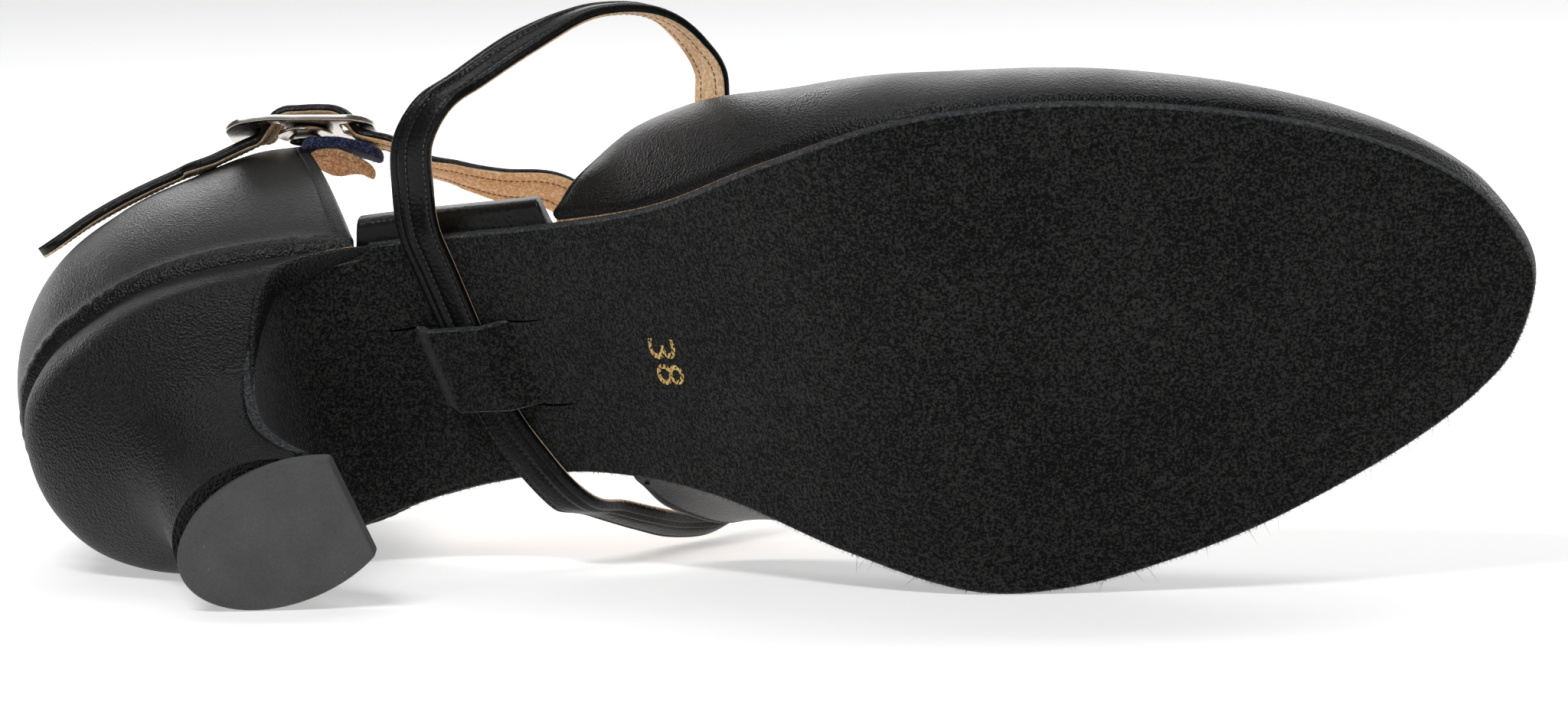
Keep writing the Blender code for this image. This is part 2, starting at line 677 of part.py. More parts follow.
def build_vamp():
    points, normals = edge_stretch(
        VAMP_BACK_LATERAL * SOLE_LENGTH, VAMP_BACK_MEDIAL * SOLE_LENGTH, RIM_STATIONS, True
    )
    outer = upper_grid(VAMP_ROWS, VAMP_LEAN, points, normals, VAMP_HEIGHT, WALL_STEPS + 3)
    return wall("vamp", outer, inner_grid(outer, normals), "leather")


def build_counter():
    points, normals = edge_stretch(
        COUNTER_FRONT_LATERAL * SOLE_LENGTH, COUNTER_FRONT_MEDIAL * SOLE_LENGTH, 38, False
    )
    outer = upper_grid(COUNTER_ROWS, COUNTER_LEAN, points, normals, COUNTER_HEIGHT, WALL_STEPS)
    flipped = outer[:, ::-1]
    inner = inner_grid(flipped, normals[::-1])
    return wall("counter", flipped, inner, "leather")


def strap_places(rows):
    """World places and facings of a strap's rows."""
    rows = np.array(rows)
    x = rows[:, 0] * SOLE_LENGTH
    y = rows[:, 1] * BALL_WIDTH / 2
    z = sole_top(x) + rows[:, 2] * COUNTER_HEIGHT
    return np.column_stack([x, y, z]), unit(rows[:, 3:])


def under_sole(side, veer=0.0):
    """Middle of the strap where it lies against the underside, and the way it faces there."""
    y = side * WAIST_WIDTH / 2
    x = strap_x_at(y) + veer * WAIST_WIDTH / 2
    facing = underside_normal(x)
    foot = np.array([x, y, float(underside(x))])
    return foot + facing * (CLEARANCE + STRAP_THICKNESS / 2), facing


def ribbon(name, places, facings, slot):
    """A strap of even width and thickness with rounded edges along a smooth route."""
    keys = lengths_along(places)
    at = [0.0]
    for start, end in zip(keys, keys[1:]):
        count = max(1, int(round((end - start) / STRAP_STEP)))
        at.extend(np.linspace(start, end, count + 1)[1:])
    line = smooth_table(keys, places, at)
    face = smooth_table(keys, facings, at)
    tangent = unit(np.gradient(line, axis=0))
    face = unit(face - tangent * np.sum(face * tangent, axis=1, keepdims=True))
    side = np.cross(face, tangent)
    half, thick = STRAP_WIDTH / 2, STRAP_THICKNESS / 2
    corner = 0.35 * STRAP_THICKNESS
    profile = [
        (half, -thick + corner),
        (half, thick - corner),
        (half - corner, thick),
        (-half + corner, thick),
        (-half, thick - corner),
        (-half, -thick + corner),
        (-half + corner, -thick),
        (half - corner, -thick),
    ]
    rings = [
        np.array([p + s * a + f * b for a, b in profile]) for p, s, f in zip(line, side, face)
    ]
    return loft(name, rings, slot)


def build_arch_strap():
    """From the middle of the sole loop round the lateral side, over the instep and into the vamp."""
    places, facings = strap_places(ARCH_ROWS)
    under = [under_sole(side) for side in UNDER_ARCH]
    places = np.vstack([[p for p, _ in under], places])
    facings = np.vstack([[f for _, f in under], facings])
    return ribbon("arch_strap", places, facings, "strap_leather")


def buckle_frame():
    """Middle of the buckle plate with the way it runs, lies across and faces."""
    x = BUCKLE_AT[0] * SOLE_LENGTH
    y = BUCKLE_AT[1] * BALL_WIDTH / 2
    at = np.array([x, y, float(sole_top(x)) + BUCKLE_AT[2] * COUNTER_HEIGHT])
    along = unit(BUCKLE_ALONG)
    face = np.array(BUCKLE_FACES)
    face = unit(face - along * np.dot(face, along))
    return at, along, np.cross(face, along), face


def build_ankle_strap():
    """From the sole loop round the medial side and over the instep, through the buckle to its tip."""
    under = [under_sole(side, veer) for side, veer in UNDER_ANKLE]
    places, facings = strap_places(ANKLE_ROWS)
    tail, tail_facings = strap_places(TAIL_ROWS)
    at, along, _, face = buckle_frame()
    inside = PLATE_THICKNESS / 2 + CLEARANCE + STRAP_THICKNESS / 2
    through = []
    for run, lift in THROUGH_ROWS:
        bow = PLATE_BOW * (1 - (2 * run) ** 2)
        through.append(at + along * run * PLATE_LENGTH + face * (lift * inside + max(bow, 0.0)))
    route = np.vstack([[p for p, _ in under], places, through, tail])
    faces = np.vstack([[f for _, f in under], facings, [face] * len(through), tail_facings])
    return ribbon("ankle_strap", route, faces, "strap_leather")


def build_buckle():
    """A bowed plate with two slots for the strap."""
    at, along, across, face = buckle_frame()
    slot_reach = 0.5 * SLOT_LENGTH / PLATE_LENGTH
    columns = [-0.5, -0.475, -SLOT_AT - slot_reach, -SLOT_AT, -SLOT_AT + slot_reach, -0.06]
    columns = columns + [-c for c in reversed(columns)]
    slot_half = STRAP_WIDTH / 2 + CLEARANCE
    rows = [-1.0, -slot_half / (PLATE_WIDTH / 2), slot_half / (PLATE_WIDTH / 2), 1.0]
    holes = {(2, 1), (3, 1), (7, 1), (8, 1)}
    return perforated_plate("buckle_plate", columns, rows, holes, at, along, across, face)


def perforated_plate(name, columns, rows, holes, at, along, across, face):
    """A thin plate on a grid of cells, open where a cell is a hole."""
    work = bmesh.new()
    corners = {}
    for i, c in enumerate(columns):
        narrow = 1.0 - 0.22 * max(0.0, (abs(c) - 0.40) / 0.10) ** 2
        bow = PLATE_BOW * (1 - (2 * c) ** 2)
        for j, r in enumerate(rows):
            width = r * PLATE_WIDTH / 2 * (narrow if abs(r) == 1.0 else min(1.0, narrow + 0.1))
            spot = at + along * c * PLATE_LENGTH + across * width + face * bow
            for k, s in enumerate((-0.5, 0.5)):
                corners[i, j, k] = work.verts.new(spot + face * s * PLATE_THICKNESS)

    def cell(i, j):
        inside = 0 <= i < len(columns) - 1 and 0 <= j < len(rows) - 1
        return inside and (i, j) not in holes

    for i in range(len(columns) - 1):
        for j in range(len(rows) - 1):
            if not cell(i, j):
                continue
            square = [(i, j), (i + 1, j), (i + 1, j + 1), (i, j + 1)]
            work.faces.new([corners[a, b, 1] for a, b in square])
            work.faces.new([corners[a, b, 0] for a, b in reversed(square)])
            beyond = [(i, j - 1), (i + 1, j), (i, j + 1), (i - 1, j)]
            for k, other in enumerate(beyond):
                if not cell(*other):
                    a, b = square[k], square[(k + 1) % 4]
                    loop = [corners[(*a, 0)], corners[(*b, 0)], corners[(*b, 1)], corners[(*a, 1)]]
                    work.faces.new(loop)
    mesh = bpy.data.meshes.new(name)
    work.to_mesh(mesh)
    work.free()
    turn_faces_out(mesh)
    mesh.materials.append(material("nickel"))
    made = bpy.data.objects.new(name, mesh)
    bpy.context.scene.collection.objects.link(made)
    return made


def turned_solid(name, profile, at, along, across, face, slot, count=20):
    """A round solid from a profile of radius and height."""
    angles = np.linspace(0.0, 2 * math.pi, count, endpoint=False)
    rings = [
        np.array([at + (along * math.cos(a) + across * math.sin(a)) * r + face * h for a in angles])
        for r, h in profile
    ]
    return loft(name, rings, slot)


def build_snap_and_tab():
    """The press stud under the plate, the suede tab it closes on, its back and the tab's lining."""
    at, along, across, face = buckle_frame()
    top = PLATE_BOW - PLATE_THICKNESS / 2 - CLEARANCE
    radius = SNAP_DIAMETER / 2
    cap = [
        (0.45 * radius, -SNAP_HEIGHT),
        (0.80 * radius, -0.95 * SNAP_HEIGHT),
        (0.97 * radius, -0.70 * SNAP_HEIGHT),
        (radius, -0.35 * SNAP_HEIGHT),
        (0.90 * radius, -0.10 * SNAP_HEIGHT),
        (0.70 * radius, 0.0),
    ]
    turned_solid("snap_cap", cap, at + face * top, along, across, face, "nickel")

    def slab(name, outer_depth, thickness, outline, slot):
        rings = []
        for depth in (outer_depth, outer_depth + thickness):
            ring = [
                at - (along * f - across * d + face * TAB_SLOPE * f) * TAB_LENGTH - face * depth
                for f, d in outline
            ]
            rings.append(np.array(ring))
        return loft(name, rings, slot)

    depth = SNAP_HEIGHT - top + CLEARANCE
    slab("tab", depth, TAB_THICKNESS, TAB_OUTLINE, "navy_suede")
    depth += TAB_THICKNESS + CLEARANCE
    middle = at - (along + face * TAB_SLOPE) * 0.347 * TAB_LENGTH - face * depth
    facing = unit(face + along * -TAB_SLOPE)
    run = unit(along - facing * np.dot(along, facing))
    back_radius = SNAP_BACK_DIAMETER / 2
    back = [
        (0.80 * back_radius, -SNAP_BACK_THICKNESS),
        (back_radius, -0.7 * SNAP_BACK_THICKNESS),
        (back_radius, -0.3 * SNAP_BACK_THICKNESS),
        (0.80 * back_radius, 0.0),
    ]
    turned_solid("snap_back", back, middle, run, across, facing, "nickel")
    depth += SNAP_BACK_THICKNESS + CLEARANCE
    inner = [(0.10 + 0.80 * f, 0.9 * d) for f, d in TAB_OUTLINE]
    slab("tab_lining", depth, TAB_LINING_THICKNESS, inner, "tan_suede")


def mass_and_centre(thing):
    """Volume times density, and the centroid, of a closed mesh as it is evaluated."""
    graph = bpy.context.evaluated_depsgraph_get()
    mesh = thing.evaluated_get(graph).to_mesh()
    mesh.calc_loop_triangles()
    verts = np.array([v.co for v in mesh.vertices])
    corners = verts[np.array([t.vertices for t in mesh.loop_triangles])]
    volumes = np.einsum("ij,ij->i", corners[:, 0], np.cross(corners[:, 1], corners[:, 2])) / 6
    centre = (corners.sum(axis=1) / 4 * volumes[:, None]).sum(axis=0)
    density = DENSITIES[thing.data.materials[0].name]
    return volumes.sum() * density, centre * density, verts


def resting_turn(things):
    """The turn that lays the shoe on its medial side, on the three spots that carry its weight."""
    parts = [mass_and_centre(thing) for thing in things]
    centre = sum(p[1] for p in parts) / sum(p[0] for p in parts)
    hull = bmesh.new()
    for point in np.vstack([p[2] for p in parts]):
        hull.verts.new(point)
    bmesh.ops.convex_hull(hull, input=hull.verts)
    best, best_match = None, 0.0
    for face in hull.faces:
        corners = [np.array(v.co) for v in face.verts]
        normal = np.cross(corners[1] - corners[0], corners[2] - corners[0])
        if np.linalg.norm(normal) < 1e-12:
            continue
        normal = unit(normal)
        if np.dot(normal, corners[0] - centre) < 0:
            normal = -normal
        inside = True
        for a, b in zip(corners, corners[1:] + corners[:1]):
            edge_out = np.cross(b - a, normal)
            third = sum(corners) / len(corners)
            if np.dot(edge_out, third - a) > 0:
                edge_out = -edge_out
            inside = inside and np.dot(edge_out, centre - a) < 0
        if inside and normal[1] > best_match:
            best, best_match = normal, normal[1]
    hull.free()
    down = Vector(best)
    turn = down.rotation_difference(Vector((0.0, 0.0, -1.0))).to_matrix()
    toe = turn @ Vector((1.0, 0.0, 0.0))
    level = Matrix.Rotation(-math.atan2(toe.y, toe.x), 3, "Z")
    return (level @ turn).to_4x4()


def lay_down(things):
    turn = resting_turn(things)
    turned = []
    for thing in things:
        verts = mass_and_centre(thing)[2]
        turned.append(verts @ np.array(turn.to_3x3()).T)
    cloud = np.vstack(turned)
    low, high = cloud.min(axis=0), cloud.max(axis=0)
    shift = Matrix.Translation((-(low[0] + high[0]) / 2, -(low[1] + high[1]) / 2, -low[2]))
    place = shift @ turn
    for thing in bpy.data.objects:
        if thing.type == "MESH":
            thing.data.transform(place)
            thing.data.update()
    return place


def build_shoe():
    clear_scene()
    outsole = build_outsole()
    build_loop(outsole)
    build_heel()
    build_top_piece()
    build_insole()
    build_vamp()
    build_counter()
    build_arch_strap()
    build_ankle_strap()
    build_buckle()
    build_snap_and_tab()
    bpy.context.view_layer.update()
    solids = [thing for thing in bpy.data.objects if not thing.hide_render]
    return lay_down(solids)


PLACE = build_shoe()
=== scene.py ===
"""Dressed model of a right ballroom dance shoe that lies on its side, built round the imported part."""

import json
import math

import bmesh
import bpy
import numpy as np
from mathutils import Matrix, Vector


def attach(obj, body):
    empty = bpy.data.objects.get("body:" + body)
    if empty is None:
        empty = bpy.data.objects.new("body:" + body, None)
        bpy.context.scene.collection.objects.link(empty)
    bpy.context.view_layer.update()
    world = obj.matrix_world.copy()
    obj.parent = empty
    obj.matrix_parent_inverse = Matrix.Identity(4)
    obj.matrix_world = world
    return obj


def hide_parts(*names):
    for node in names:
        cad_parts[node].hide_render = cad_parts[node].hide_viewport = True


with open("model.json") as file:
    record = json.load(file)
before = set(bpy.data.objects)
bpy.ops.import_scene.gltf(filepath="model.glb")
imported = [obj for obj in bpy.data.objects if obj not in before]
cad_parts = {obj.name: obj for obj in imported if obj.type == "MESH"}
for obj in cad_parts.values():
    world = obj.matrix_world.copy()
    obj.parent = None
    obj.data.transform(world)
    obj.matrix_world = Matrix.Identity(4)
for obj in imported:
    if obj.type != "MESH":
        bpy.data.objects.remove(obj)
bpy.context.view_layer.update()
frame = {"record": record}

# How the shoe lies. The record states one face, the flat rubber under the heel. The shoe's own axes
# are read from it: X from heel to toe, Y to the medial side, Z up from the floor it is worn on.
rubber_face = frame["record"]["mounts"][0]
shoe_up = -Vector(rubber_face["axis"]).normalized()
shoe_fore = Vector((shoe_up.z, 0.0, -shoe_up.x)).normalized()
shoe_left = shoe_up.cross(shoe_fore)
RUBBER_FACE_MIDDLE = (0.04374, 0.00732, 0.0)
lie_turn = np.array(Matrix((shoe_fore, shoe_left, shoe_up)).transposed())
lie_shift = np.array(rubber_face["pos_m"]) - lie_turn @ np.array(RUBBER_FACE_MIDDLE)


def laid_down(points):
    """Points of the shoe's own axes, moved to where the shoe lies."""
    return np.asarray(points, float) @ lie_turn.T + lie_shift


# Camera: close to the floor, a little above the shoe, looking at the sole with the heel on the left.
CAMERA_AT = (0.2152, -0.2390, -0.7852)
CAMERA_RIGHT = (0.9772, 0.2085, 0.0407)
CAMERA_DOWN = (-0.1874, 0.9365, -0.2963)
CAMERA_LENS = 120.85
right = Vector((lie_turn @ np.array(CAMERA_RIGHT)).tolist()).normalized()
back = right.cross(-Vector((lie_turn @ np.array(CAMERA_DOWN)).tolist())).normalized()
camera_data = bpy.data.cameras.new("photo_camera")
camera_data.lens = CAMERA_LENS
camera_data.sensor_width = 36.0
camera_data.clip_start = 0.05
camera = bpy.data.objects.new("photo_camera", camera_data)
camera_turn = Matrix((right, back.cross(right), back)).transposed().to_4x4()
camera.matrix_world = Matrix.Translation(laid_down(CAMERA_AT).tolist()) @ camera_turn
bpy.context.scene.collection.objects.link(camera)
bpy.context.scene.camera = camera
bpy.context.scene.view_settings.view_transform = "Standard"

# Studio: a broad sweep of white paper that runs under the shoe and rises far behind it. A low soft light
# stands behind the shoe and draws the sheen along the vamp, a narrow one does so on the counter's back,
# one lights the paper behind, and a small one in front lights the heel and the sole.
PAPER_HALF_WIDTH = 6.0
PAPER_FRONT = -5.0
PAPER_FLAT_TO = 5.0
PAPER_CURVE = 0.7
PAPER_TOP = 3.0
PAPER_GLOW = 0.45
PAPER_WHITE = (0.88, 0.88, 0.88, 1.0)
PAPER_STEPS = 12
AIR_GLOW = 0.10
profile = [(PAPER_FRONT, 0.0), (PAPER_FLAT_TO, 0.0)]
for step in range(1, PAPER_STEPS + 1):
    angle = step / PAPER_STEPS * math.pi / 2
    rise = PAPER_CURVE * (1 - math.cos(angle))
    profile.append((PAPER_FLAT_TO + PAPER_CURVE * math.sin(angle), rise))
profile.append((PAPER_FLAT_TO + PAPER_CURVE, PAPER_TOP))
paper_verts = []
for y, z in profile:
    paper_verts += [(-PAPER_HALF_WIDTH, y, z), (PAPER_HALF_WIDTH, y, z)]
paper_faces = [(2 * i, 2 * i + 1, 2 * i + 3, 2 * i + 2) for i in range(len(profile) - 1)]
paper_mesh = bpy.data.meshes.new("studio_paper")
paper_mesh.from_pydata(paper_verts, [], paper_faces)
paper_mesh.shade_smooth()
paper = bpy.data.objects.new("studio_paper", paper_mesh)
bpy.context.scene.collection.objects.link(paper)
paper_white = bpy.data.materials.new("studio_paper")
paper_white.use_nodes = True
paper_shader = paper_white.node_tree.nodes["Principled BSDF"]
paper_shader.inputs["Base Color"].default_value = PAPER_WHITE
paper_shader.inputs["Roughness"].default_value = 0.9
paper_shader.inputs["Emission Color"].default_value = (1.0, 1.0, 1.0, 1.0)
paper_shader.inputs["Emission Strength"].default_value = PAPER_GLOW
paper_mesh.materials.append(paper_white)

world = bpy.data.worlds.new("studio_air")
world.use_nodes = True
world.node_tree.nodes["Background"].inputs["Color"].default_value = (1.0, 1.0, 1.0, 1.0)
world.node_tree.nodes["Background"].inputs["Strength"].default_value = AIR_GLOW
bpy.context.scene.world = world


def soft_light(name, place, aim, width, height, watts):
    """A rectangular soft box at a place, turned to face its aim."""
    data = bpy.data.lights.new(name, "AREA")
    data.shape = "RECTANGLE"
    data.size = width
    data.size_y = height
    data.energy = watts
    box = bpy.data.objects.new(name, data)
    box.location = place
    box.rotation_euler = (Vector(aim) - Vector(place)).to_track_quat("-Z", "Y").to_euler()
    bpy.context.scene.collection.objects.link(box)


soft_light("back_box", (0.32, 1.35, 0.60), (0.0, 0.0, 0.02), 2.15, 0.40, 8.1)
soft_light("side_box", (-1.15, 1.25, 0.38), (0.0, 0.0, 0.02), 0.4, 0.36, 1.6)
soft_light("paper_box", (0.0, 0.9, 1.9), (0.0, 1.7, 0.4), 3.0, 0.9, 30.0)
soft_light("front_box", (-0.34, -0.62, 0.90), (-0.06, 0.0, 0.04), 0.6, 0.14, 6.0)

# Outsole: one piece of split suede, cut to the outline of the foot, glued on nap side down. It goes on
# past the waist, down the front of the heel as a flap, to the rubber top piece. Its cut edge is fuzzy.
SOLE_LENGTH = 0.2500
BALL_WIDTH = 0.0794
WAIST_WIDTH = 0.0426
SEAT_WIDTH = 0.0497
SOLE_THICKNESS = 0.0026
TOE_SPRING = 0.0052
BALL_AT = 0.1627
ROLL_AT = 0.1847
HEEL_HEIGHT = 0.0510
BREAST_AT = 0.0580
SEAT_LAP = 0.0040
BREAST_HOLLOW = 0.0138
CORNER_CUT = 0.0020
CORNER_CUT_TO = 0.0640
TIP_LENGTH = 0.0303
TIP_WIDTH = 0.0226
TIP_FRONT_AT = 0.0608
TIP_CENTRE = 0.0037
TIP_TURN = 12.0
TOP_PIECE_THICKNESS = 0.0055
FLAP_THICKNESS = 0.0018
CLEARANCE = 0.0003
SUEDE_EDGE_ROUND = 0.0007
SUEDE_DARK = (0.0022, 0.0024, 0.0022)
SUEDE_LIGHT = (0.032, 0.034, 0.031)
SUEDE_FLECK = 0.00042
SUEDE_TONES_FROM = 0.75
SUEDE_TONES_TO = 1.03
BRUSHED_SCALE = 55.0
BRUSHED_SHARE = 0.16
CUT_DARK = (0.022, 0.024, 0.026)
CUT_LIGHT = (0.085, 0.090, 0.092)
SHARP_FROM = math.radians(50.0)
MERGE_WITHIN = 1e-6
FLAP_FROM = 0.985
HEEL_FOLLOWS_FROM = 0.55
HEEL_ROUND_SHARE = 0.60
EDGE_POINTS = 4001
SIDE_POINTS = 300
FLAP_LEVELS = 70
OUTLINE_ROWS = [
    (0.006, 0.16, 0.19, SEAT_WIDTH),
    (0.027, 0.33, 0.32, SEAT_WIDTH),
    (0.058, 0.43, 0.41, SEAT_WIDTH),
    (0.100, 0.485, 0.485, SEAT_WIDTH),
    (0.150, 0.485, 0.512, SEAT_WIDTH),
    (0.220, 0.445, 0.500, SEAT_WIDTH),
    (0.300, 0.440, 0.580, WAIST_WIDTH),
    (0.380, 0.400, 0.606, WAIST_WIDTH),
    (0.460, 0.475, 0.681, WAIST_WIDTH),
    (0.540, 0.368, 0.450, BALL_WIDTH),
    (0.620, 0.470, 0.508, BALL_WIDTH),
    (0.680, 0.492, 0.506, BALL_WIDTH),
    (0.740, 0.475, 0.482, BALL_WIDTH),
    (0.800, 0.440, 0.436, BALL_WIDTH),
    (0.860, 0.385, 0.372, BALL_WIDTH),
    (0.912, 0.325, 0.295, BALL_WIDTH),
    (0.952, 0.262, 0.210, BALL_WIDTH),
    (0.980, 0.190, 0.118, BALL_WIDTH),
]
HEEL_END_SHARE = -0.02
TOE_END_SHARE = 0.045
HEEL_ROWS = [
    (0.00, 0.00, 0.00, 0.00, 0.77),
    (0.10, 0.03, 0.00, 0.25, 0.76),
    (0.22, 0.09, 0.03, 0.60, 0.79),
    (0.34, 0.14, 0.07, 0.86, 0.86),
    (0.48, 0.26, 0.16, 0.98, 0.92),
    (0.60, 0.40, 0.28, 1.00, 0.93),
    (0.72, 0.57, 0.48, 0.96, 0.92),
    (0.82, 0.75, 0.68, 0.86, 0.91),
    (0.90, 0.88, 0.85, 0.70, 0.93),
    (0.96, 0.97, 0.96, 0.45, 0.96),
    (1.00, 1.00, 1.00, 0.08, 0.98),
]


def smooth_table(keys, rows, at):
    """Rows read at any place between their keys, along a smooth curve through them."""
    keys = np.asarray(keys, float)
    rows = np.asarray(rows, float)
    at = np.clip(np.atleast_1d(np.asarray(at, float)), keys[0], keys[-1])
    slopes = np.gradient(rows, keys, axis=0)
    i = np.clip(np.searchsorted(keys, at, side="right") - 1, 0, len(keys) - 2)
    step = (keys[i + 1] - keys[i])[:, None]
    t = (at[:, None] - keys[i][:, None]) / step
    near = (2 * t**3 - 3 * t**2 + 1) * rows[i] + (t**3 - 2 * t**2 + t) * step * slopes[i]
    far = (3 * t**2 - 2 * t**3) * rows[i + 1] + (t**3 - t**2) * step * slopes[i + 1]
    return near + far


def unit(vectors):
    """Vectors brought to length one."""
    vectors = np.asarray(vectors, float)
    return vectors / np.linalg.norm(vectors, axis=-1, keepdims=True)


def smoothstep(value, low, high):
    """A soft step from 0 at one value to 1 at another."""
    t = np.clip((np.asarray(value, float) - low) / (high - low), 0.0, 1.0)
    return 3 * t**2 - 2 * t**3


def lengths_along(points):
    """Distance of each point from the first, along the line."""
    steps = np.linalg.norm(np.diff(points, axis=0), axis=1)
    return np.concatenate([[0.0], np.cumsum(steps)])


def evenly(points, count):
    """The same line with evenly spaced points."""
    length = lengths_along(points)
    at = np.linspace(0.0, length[-1], count)
    return np.column_stack([np.interp(at, length, points[:, k]) for k in range(points.shape[1])])


def underside(x):
    """Height of the sole's underside: flat seat, arch, flat ball and toe spring."""
    x = np.asarray(x, float)
    rise = np.clip((BALL_AT - x) / (BALL_AT - BREAST_AT), 0.0, 1.0)
    roll = np.clip((x - ROLL_AT) / (SOLE_LENGTH - ROLL_AT), 0.0, None)
    return HEEL_HEIGHT * (3 * rise**2 - 2 * rise**3) + TOE_SPRING * roll**1.8


def underside_normal(x):
    """The way the sole's underside faces at x."""
    step = 1e-4
    slope = (underside(x + step) - underside(x - step)) / (2 * step)
    return unit(np.array([float(slope), 0.0, -1.0]))


def sole_outline():
    """The sole's outline as a dense closed line: back of the heel, lateral side, toe, medial side."""
    lateral_side = [(x * SOLE_LENGTH, -half * width) for x, _, half, width in OUTLINE_ROWS]
    medial_side = [(x * SOLE_LENGTH, half * width) for x, half, _, width in OUTLINE_ROWS]
    heel_end = (0.0, HEEL_END_SHARE * SEAT_WIDTH)
    toe_end = (SOLE_LENGTH, TOE_END_SHARE * BALL_WIDTH)
    ring = np.array([heel_end, *lateral_side, toe_end, *reversed(medial_side)])
    wrap = 3
    padded = np.vstack([ring[-wrap:], ring, ring[: wrap + 1]])
    keys = np.concatenate([[0.0], np.cumsum(np.linalg.norm(np.diff(padded, axis=0), axis=1) ** 0.5)])
    at = np.linspace(keys[wrap], keys[wrap + len(ring)], EDGE_POINTS)
    return smooth_table(keys, padded, at)


EDGE = sole_outline()
TOE_INDEX = int(np.argmax(EDGE[:, 0]))
EDGE_TANGENTS = unit(np.gradient(EDGE, axis=0))
EDGE_NORMALS = np.column_stack([EDGE_TANGENTS[:, 1], -EDGE_TANGENTS[:, 0]])


def half_widths(x):
    """Y of the lateral and the medial edge of the sole at x."""
    lateral, medial = EDGE[: TOE_INDEX + 1], EDGE[TOE_INDEX:][::-1]
    order = np.argsort(lateral[:, 0], kind="stable")
    other = np.argsort(medial[:, 0], kind="stable")
    return (
        np.interp(x, lateral[order, 0], lateral[order, 1]),
        np.interp(x, medial[other, 0], medial[other, 1]),
    )


def edge_stretch(x_lateral, x_medial, count, by_toe):
    """Evenly spaced points of the edge, and their outward directions, round the toe or the heel."""
    start = int(np.argmax(EDGE[: TOE_INDEX + 1, 0] >= x_lateral))
    end = TOE_INDEX + int(np.argmax(EDGE[TOE_INDEX:, 0] <= x_medial))
    if by_toe:
        order = np.arange(start, end + 1)
    else:
        order = np.concatenate([np.arange(start, -1, -1), np.arange(len(EDGE) - 2, end - 1, -1)])
    line = np.hstack([EDGE[order], EDGE_NORMALS[order]])
    length = lengths_along(line[:, :2])
    at = np.linspace(0.0, length[-1], count)
    read = np.column_stack([np.interp(at, length, line[:, k]) for k in range(4)])
    return read[:, :2], unit(read[:, 2:])


def heel_sections(shares):
    """Breast centre, turn, length and half widths of the heel at each share of its height."""
    rows = np.array(HEEL_ROWS)
    read = smooth_table(rows[:, 0], rows[:, 1:], shares)
    seat_lateral, seat_medial = half_widths(0.4 * BREAST_AT)
    sections = []
    for h, (long_grow, wide_grow, hollow, across) in zip(shares, read):
        back_at = (TIP_FRONT_AT - TIP_LENGTH) * (1 - long_grow)
        front = TIP_FRONT_AT + (BREAST_AT - TIP_FRONT_AT) * h - BREAST_HOLLOW * hollow
        half = TIP_WIDTH / 2 + (SEAT_WIDTH - TIP_WIDTH) / 2 * wide_grow
        centre = TIP_CENTRE * (1 - h) + (seat_lateral + seat_medial) / 2 * h
        turn = math.radians(TIP_TURN) * (1 - h) ** 1.5
        sections.append((front, centre, turn, front - back_at, half, across * half))
    return sections


def seat_follow(h):
    """How far a heel section has taken on the outline of the sole above it."""
    return float(smoothstep(h, HEEL_FOLLOWS_FROM, 1.0))


def breast_line(count):
    """The grain side of the flap from the seat to the top piece, and the way into the heel."""
    low = TOP_PIECE_THICKNESS + CLEARANCE
    heights = np.linspace(FLAP_FROM, low / HEEL_HEIGHT, count)
    sections = heel_sections(heights)
    path = np.array([(s[0], HEEL_HEIGHT * h) for h, s in zip(heights, sections)])
    tangents = unit(np.gradient(path, axis=0))
    level = np.clip((path[:, 1] - low) / TOP_PIECE_THICKNESS, 0.0, 1.0)
    inward = unit(np.column_stack([tangents[:, 1], -tangents[:, 0] * level]))
    return heights, sections, path, inward


def skin(name, rings, materials, band_of=None, capped=True, closed=True):
    """A mesh piece through rings of equal count, laid down with the shoe, its faces turned out."""
    count = len(rings[0])
    bands = [0] * count if band_of is None else band_of
    work = bmesh.new()
    verts = [work.verts.new(p) for p in laid_down(np.vstack(rings))]
    for i in range(len(rings) - 1):
        for j in range(count if closed else count - 1):
            k = (j + 1) % count
            corners = (i * count + j, i * count + k, (i + 1) * count + k, (i + 1) * count + j)
            work.faces.new([verts[c] for c in corners]).material_index = bands[j]
    for start in (0, len(verts) - count) if capped and closed else ():
        work.faces.new(verts[start : start + count]).material_index = bands[0]
    bmesh.ops.remove_doubles(work, verts=work.verts, dist=MERGE_WITHIN)
    bmesh.ops.dissolve_degenerate(work, edges=work.edges, dist=0.1 * MERGE_WITHIN)
    bmesh.ops.recalc_face_normals(work, faces=work.faces)
    if closed and work.calc_volume(signed=True) < 0:
        bmesh.ops.reverse_faces(work, faces=work.faces)
    return mesh_piece(name, work, materials)


def mesh_piece(name, work, materials, sharp_from=SHARP_FROM):
    """A smooth mesh piece from a finished working mesh."""
    mesh = bpy.data.meshes.new(name)
    work.to_mesh(mesh)
    work.free()
    for finish in materials:
        mesh.materials.append(finish)
    if sharp_from:
        mesh.shade_smooth()
        mesh.set_sharp_from_angle(angle=sharp_from)
    piece = bpy.data.objects.new(name, mesh)
    bpy.context.scene.collection.objects.link(piece)
    return piece


def settle(piece, stands_for=None):
    """Puts a piece on the one body of the shoe and in place of its CAD solid."""
    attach(piece, "root")
    if stands_for:
        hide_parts(stands_for)


def add_node(tree, kind, inputs=None, **settings):
    """A shader or geometry node with its settings and the values of its unlinked sockets."""
    made = tree.nodes.new(kind)
    for key, value in settings.items():
        setattr(made, key, value)
    for key, value in (inputs or {}).items():
        if isinstance(value, bpy.types.NodeSocket):
            tree.links.new(value, made.inputs[key])
        else:
            made.inputs[key].default_value = value
    return made


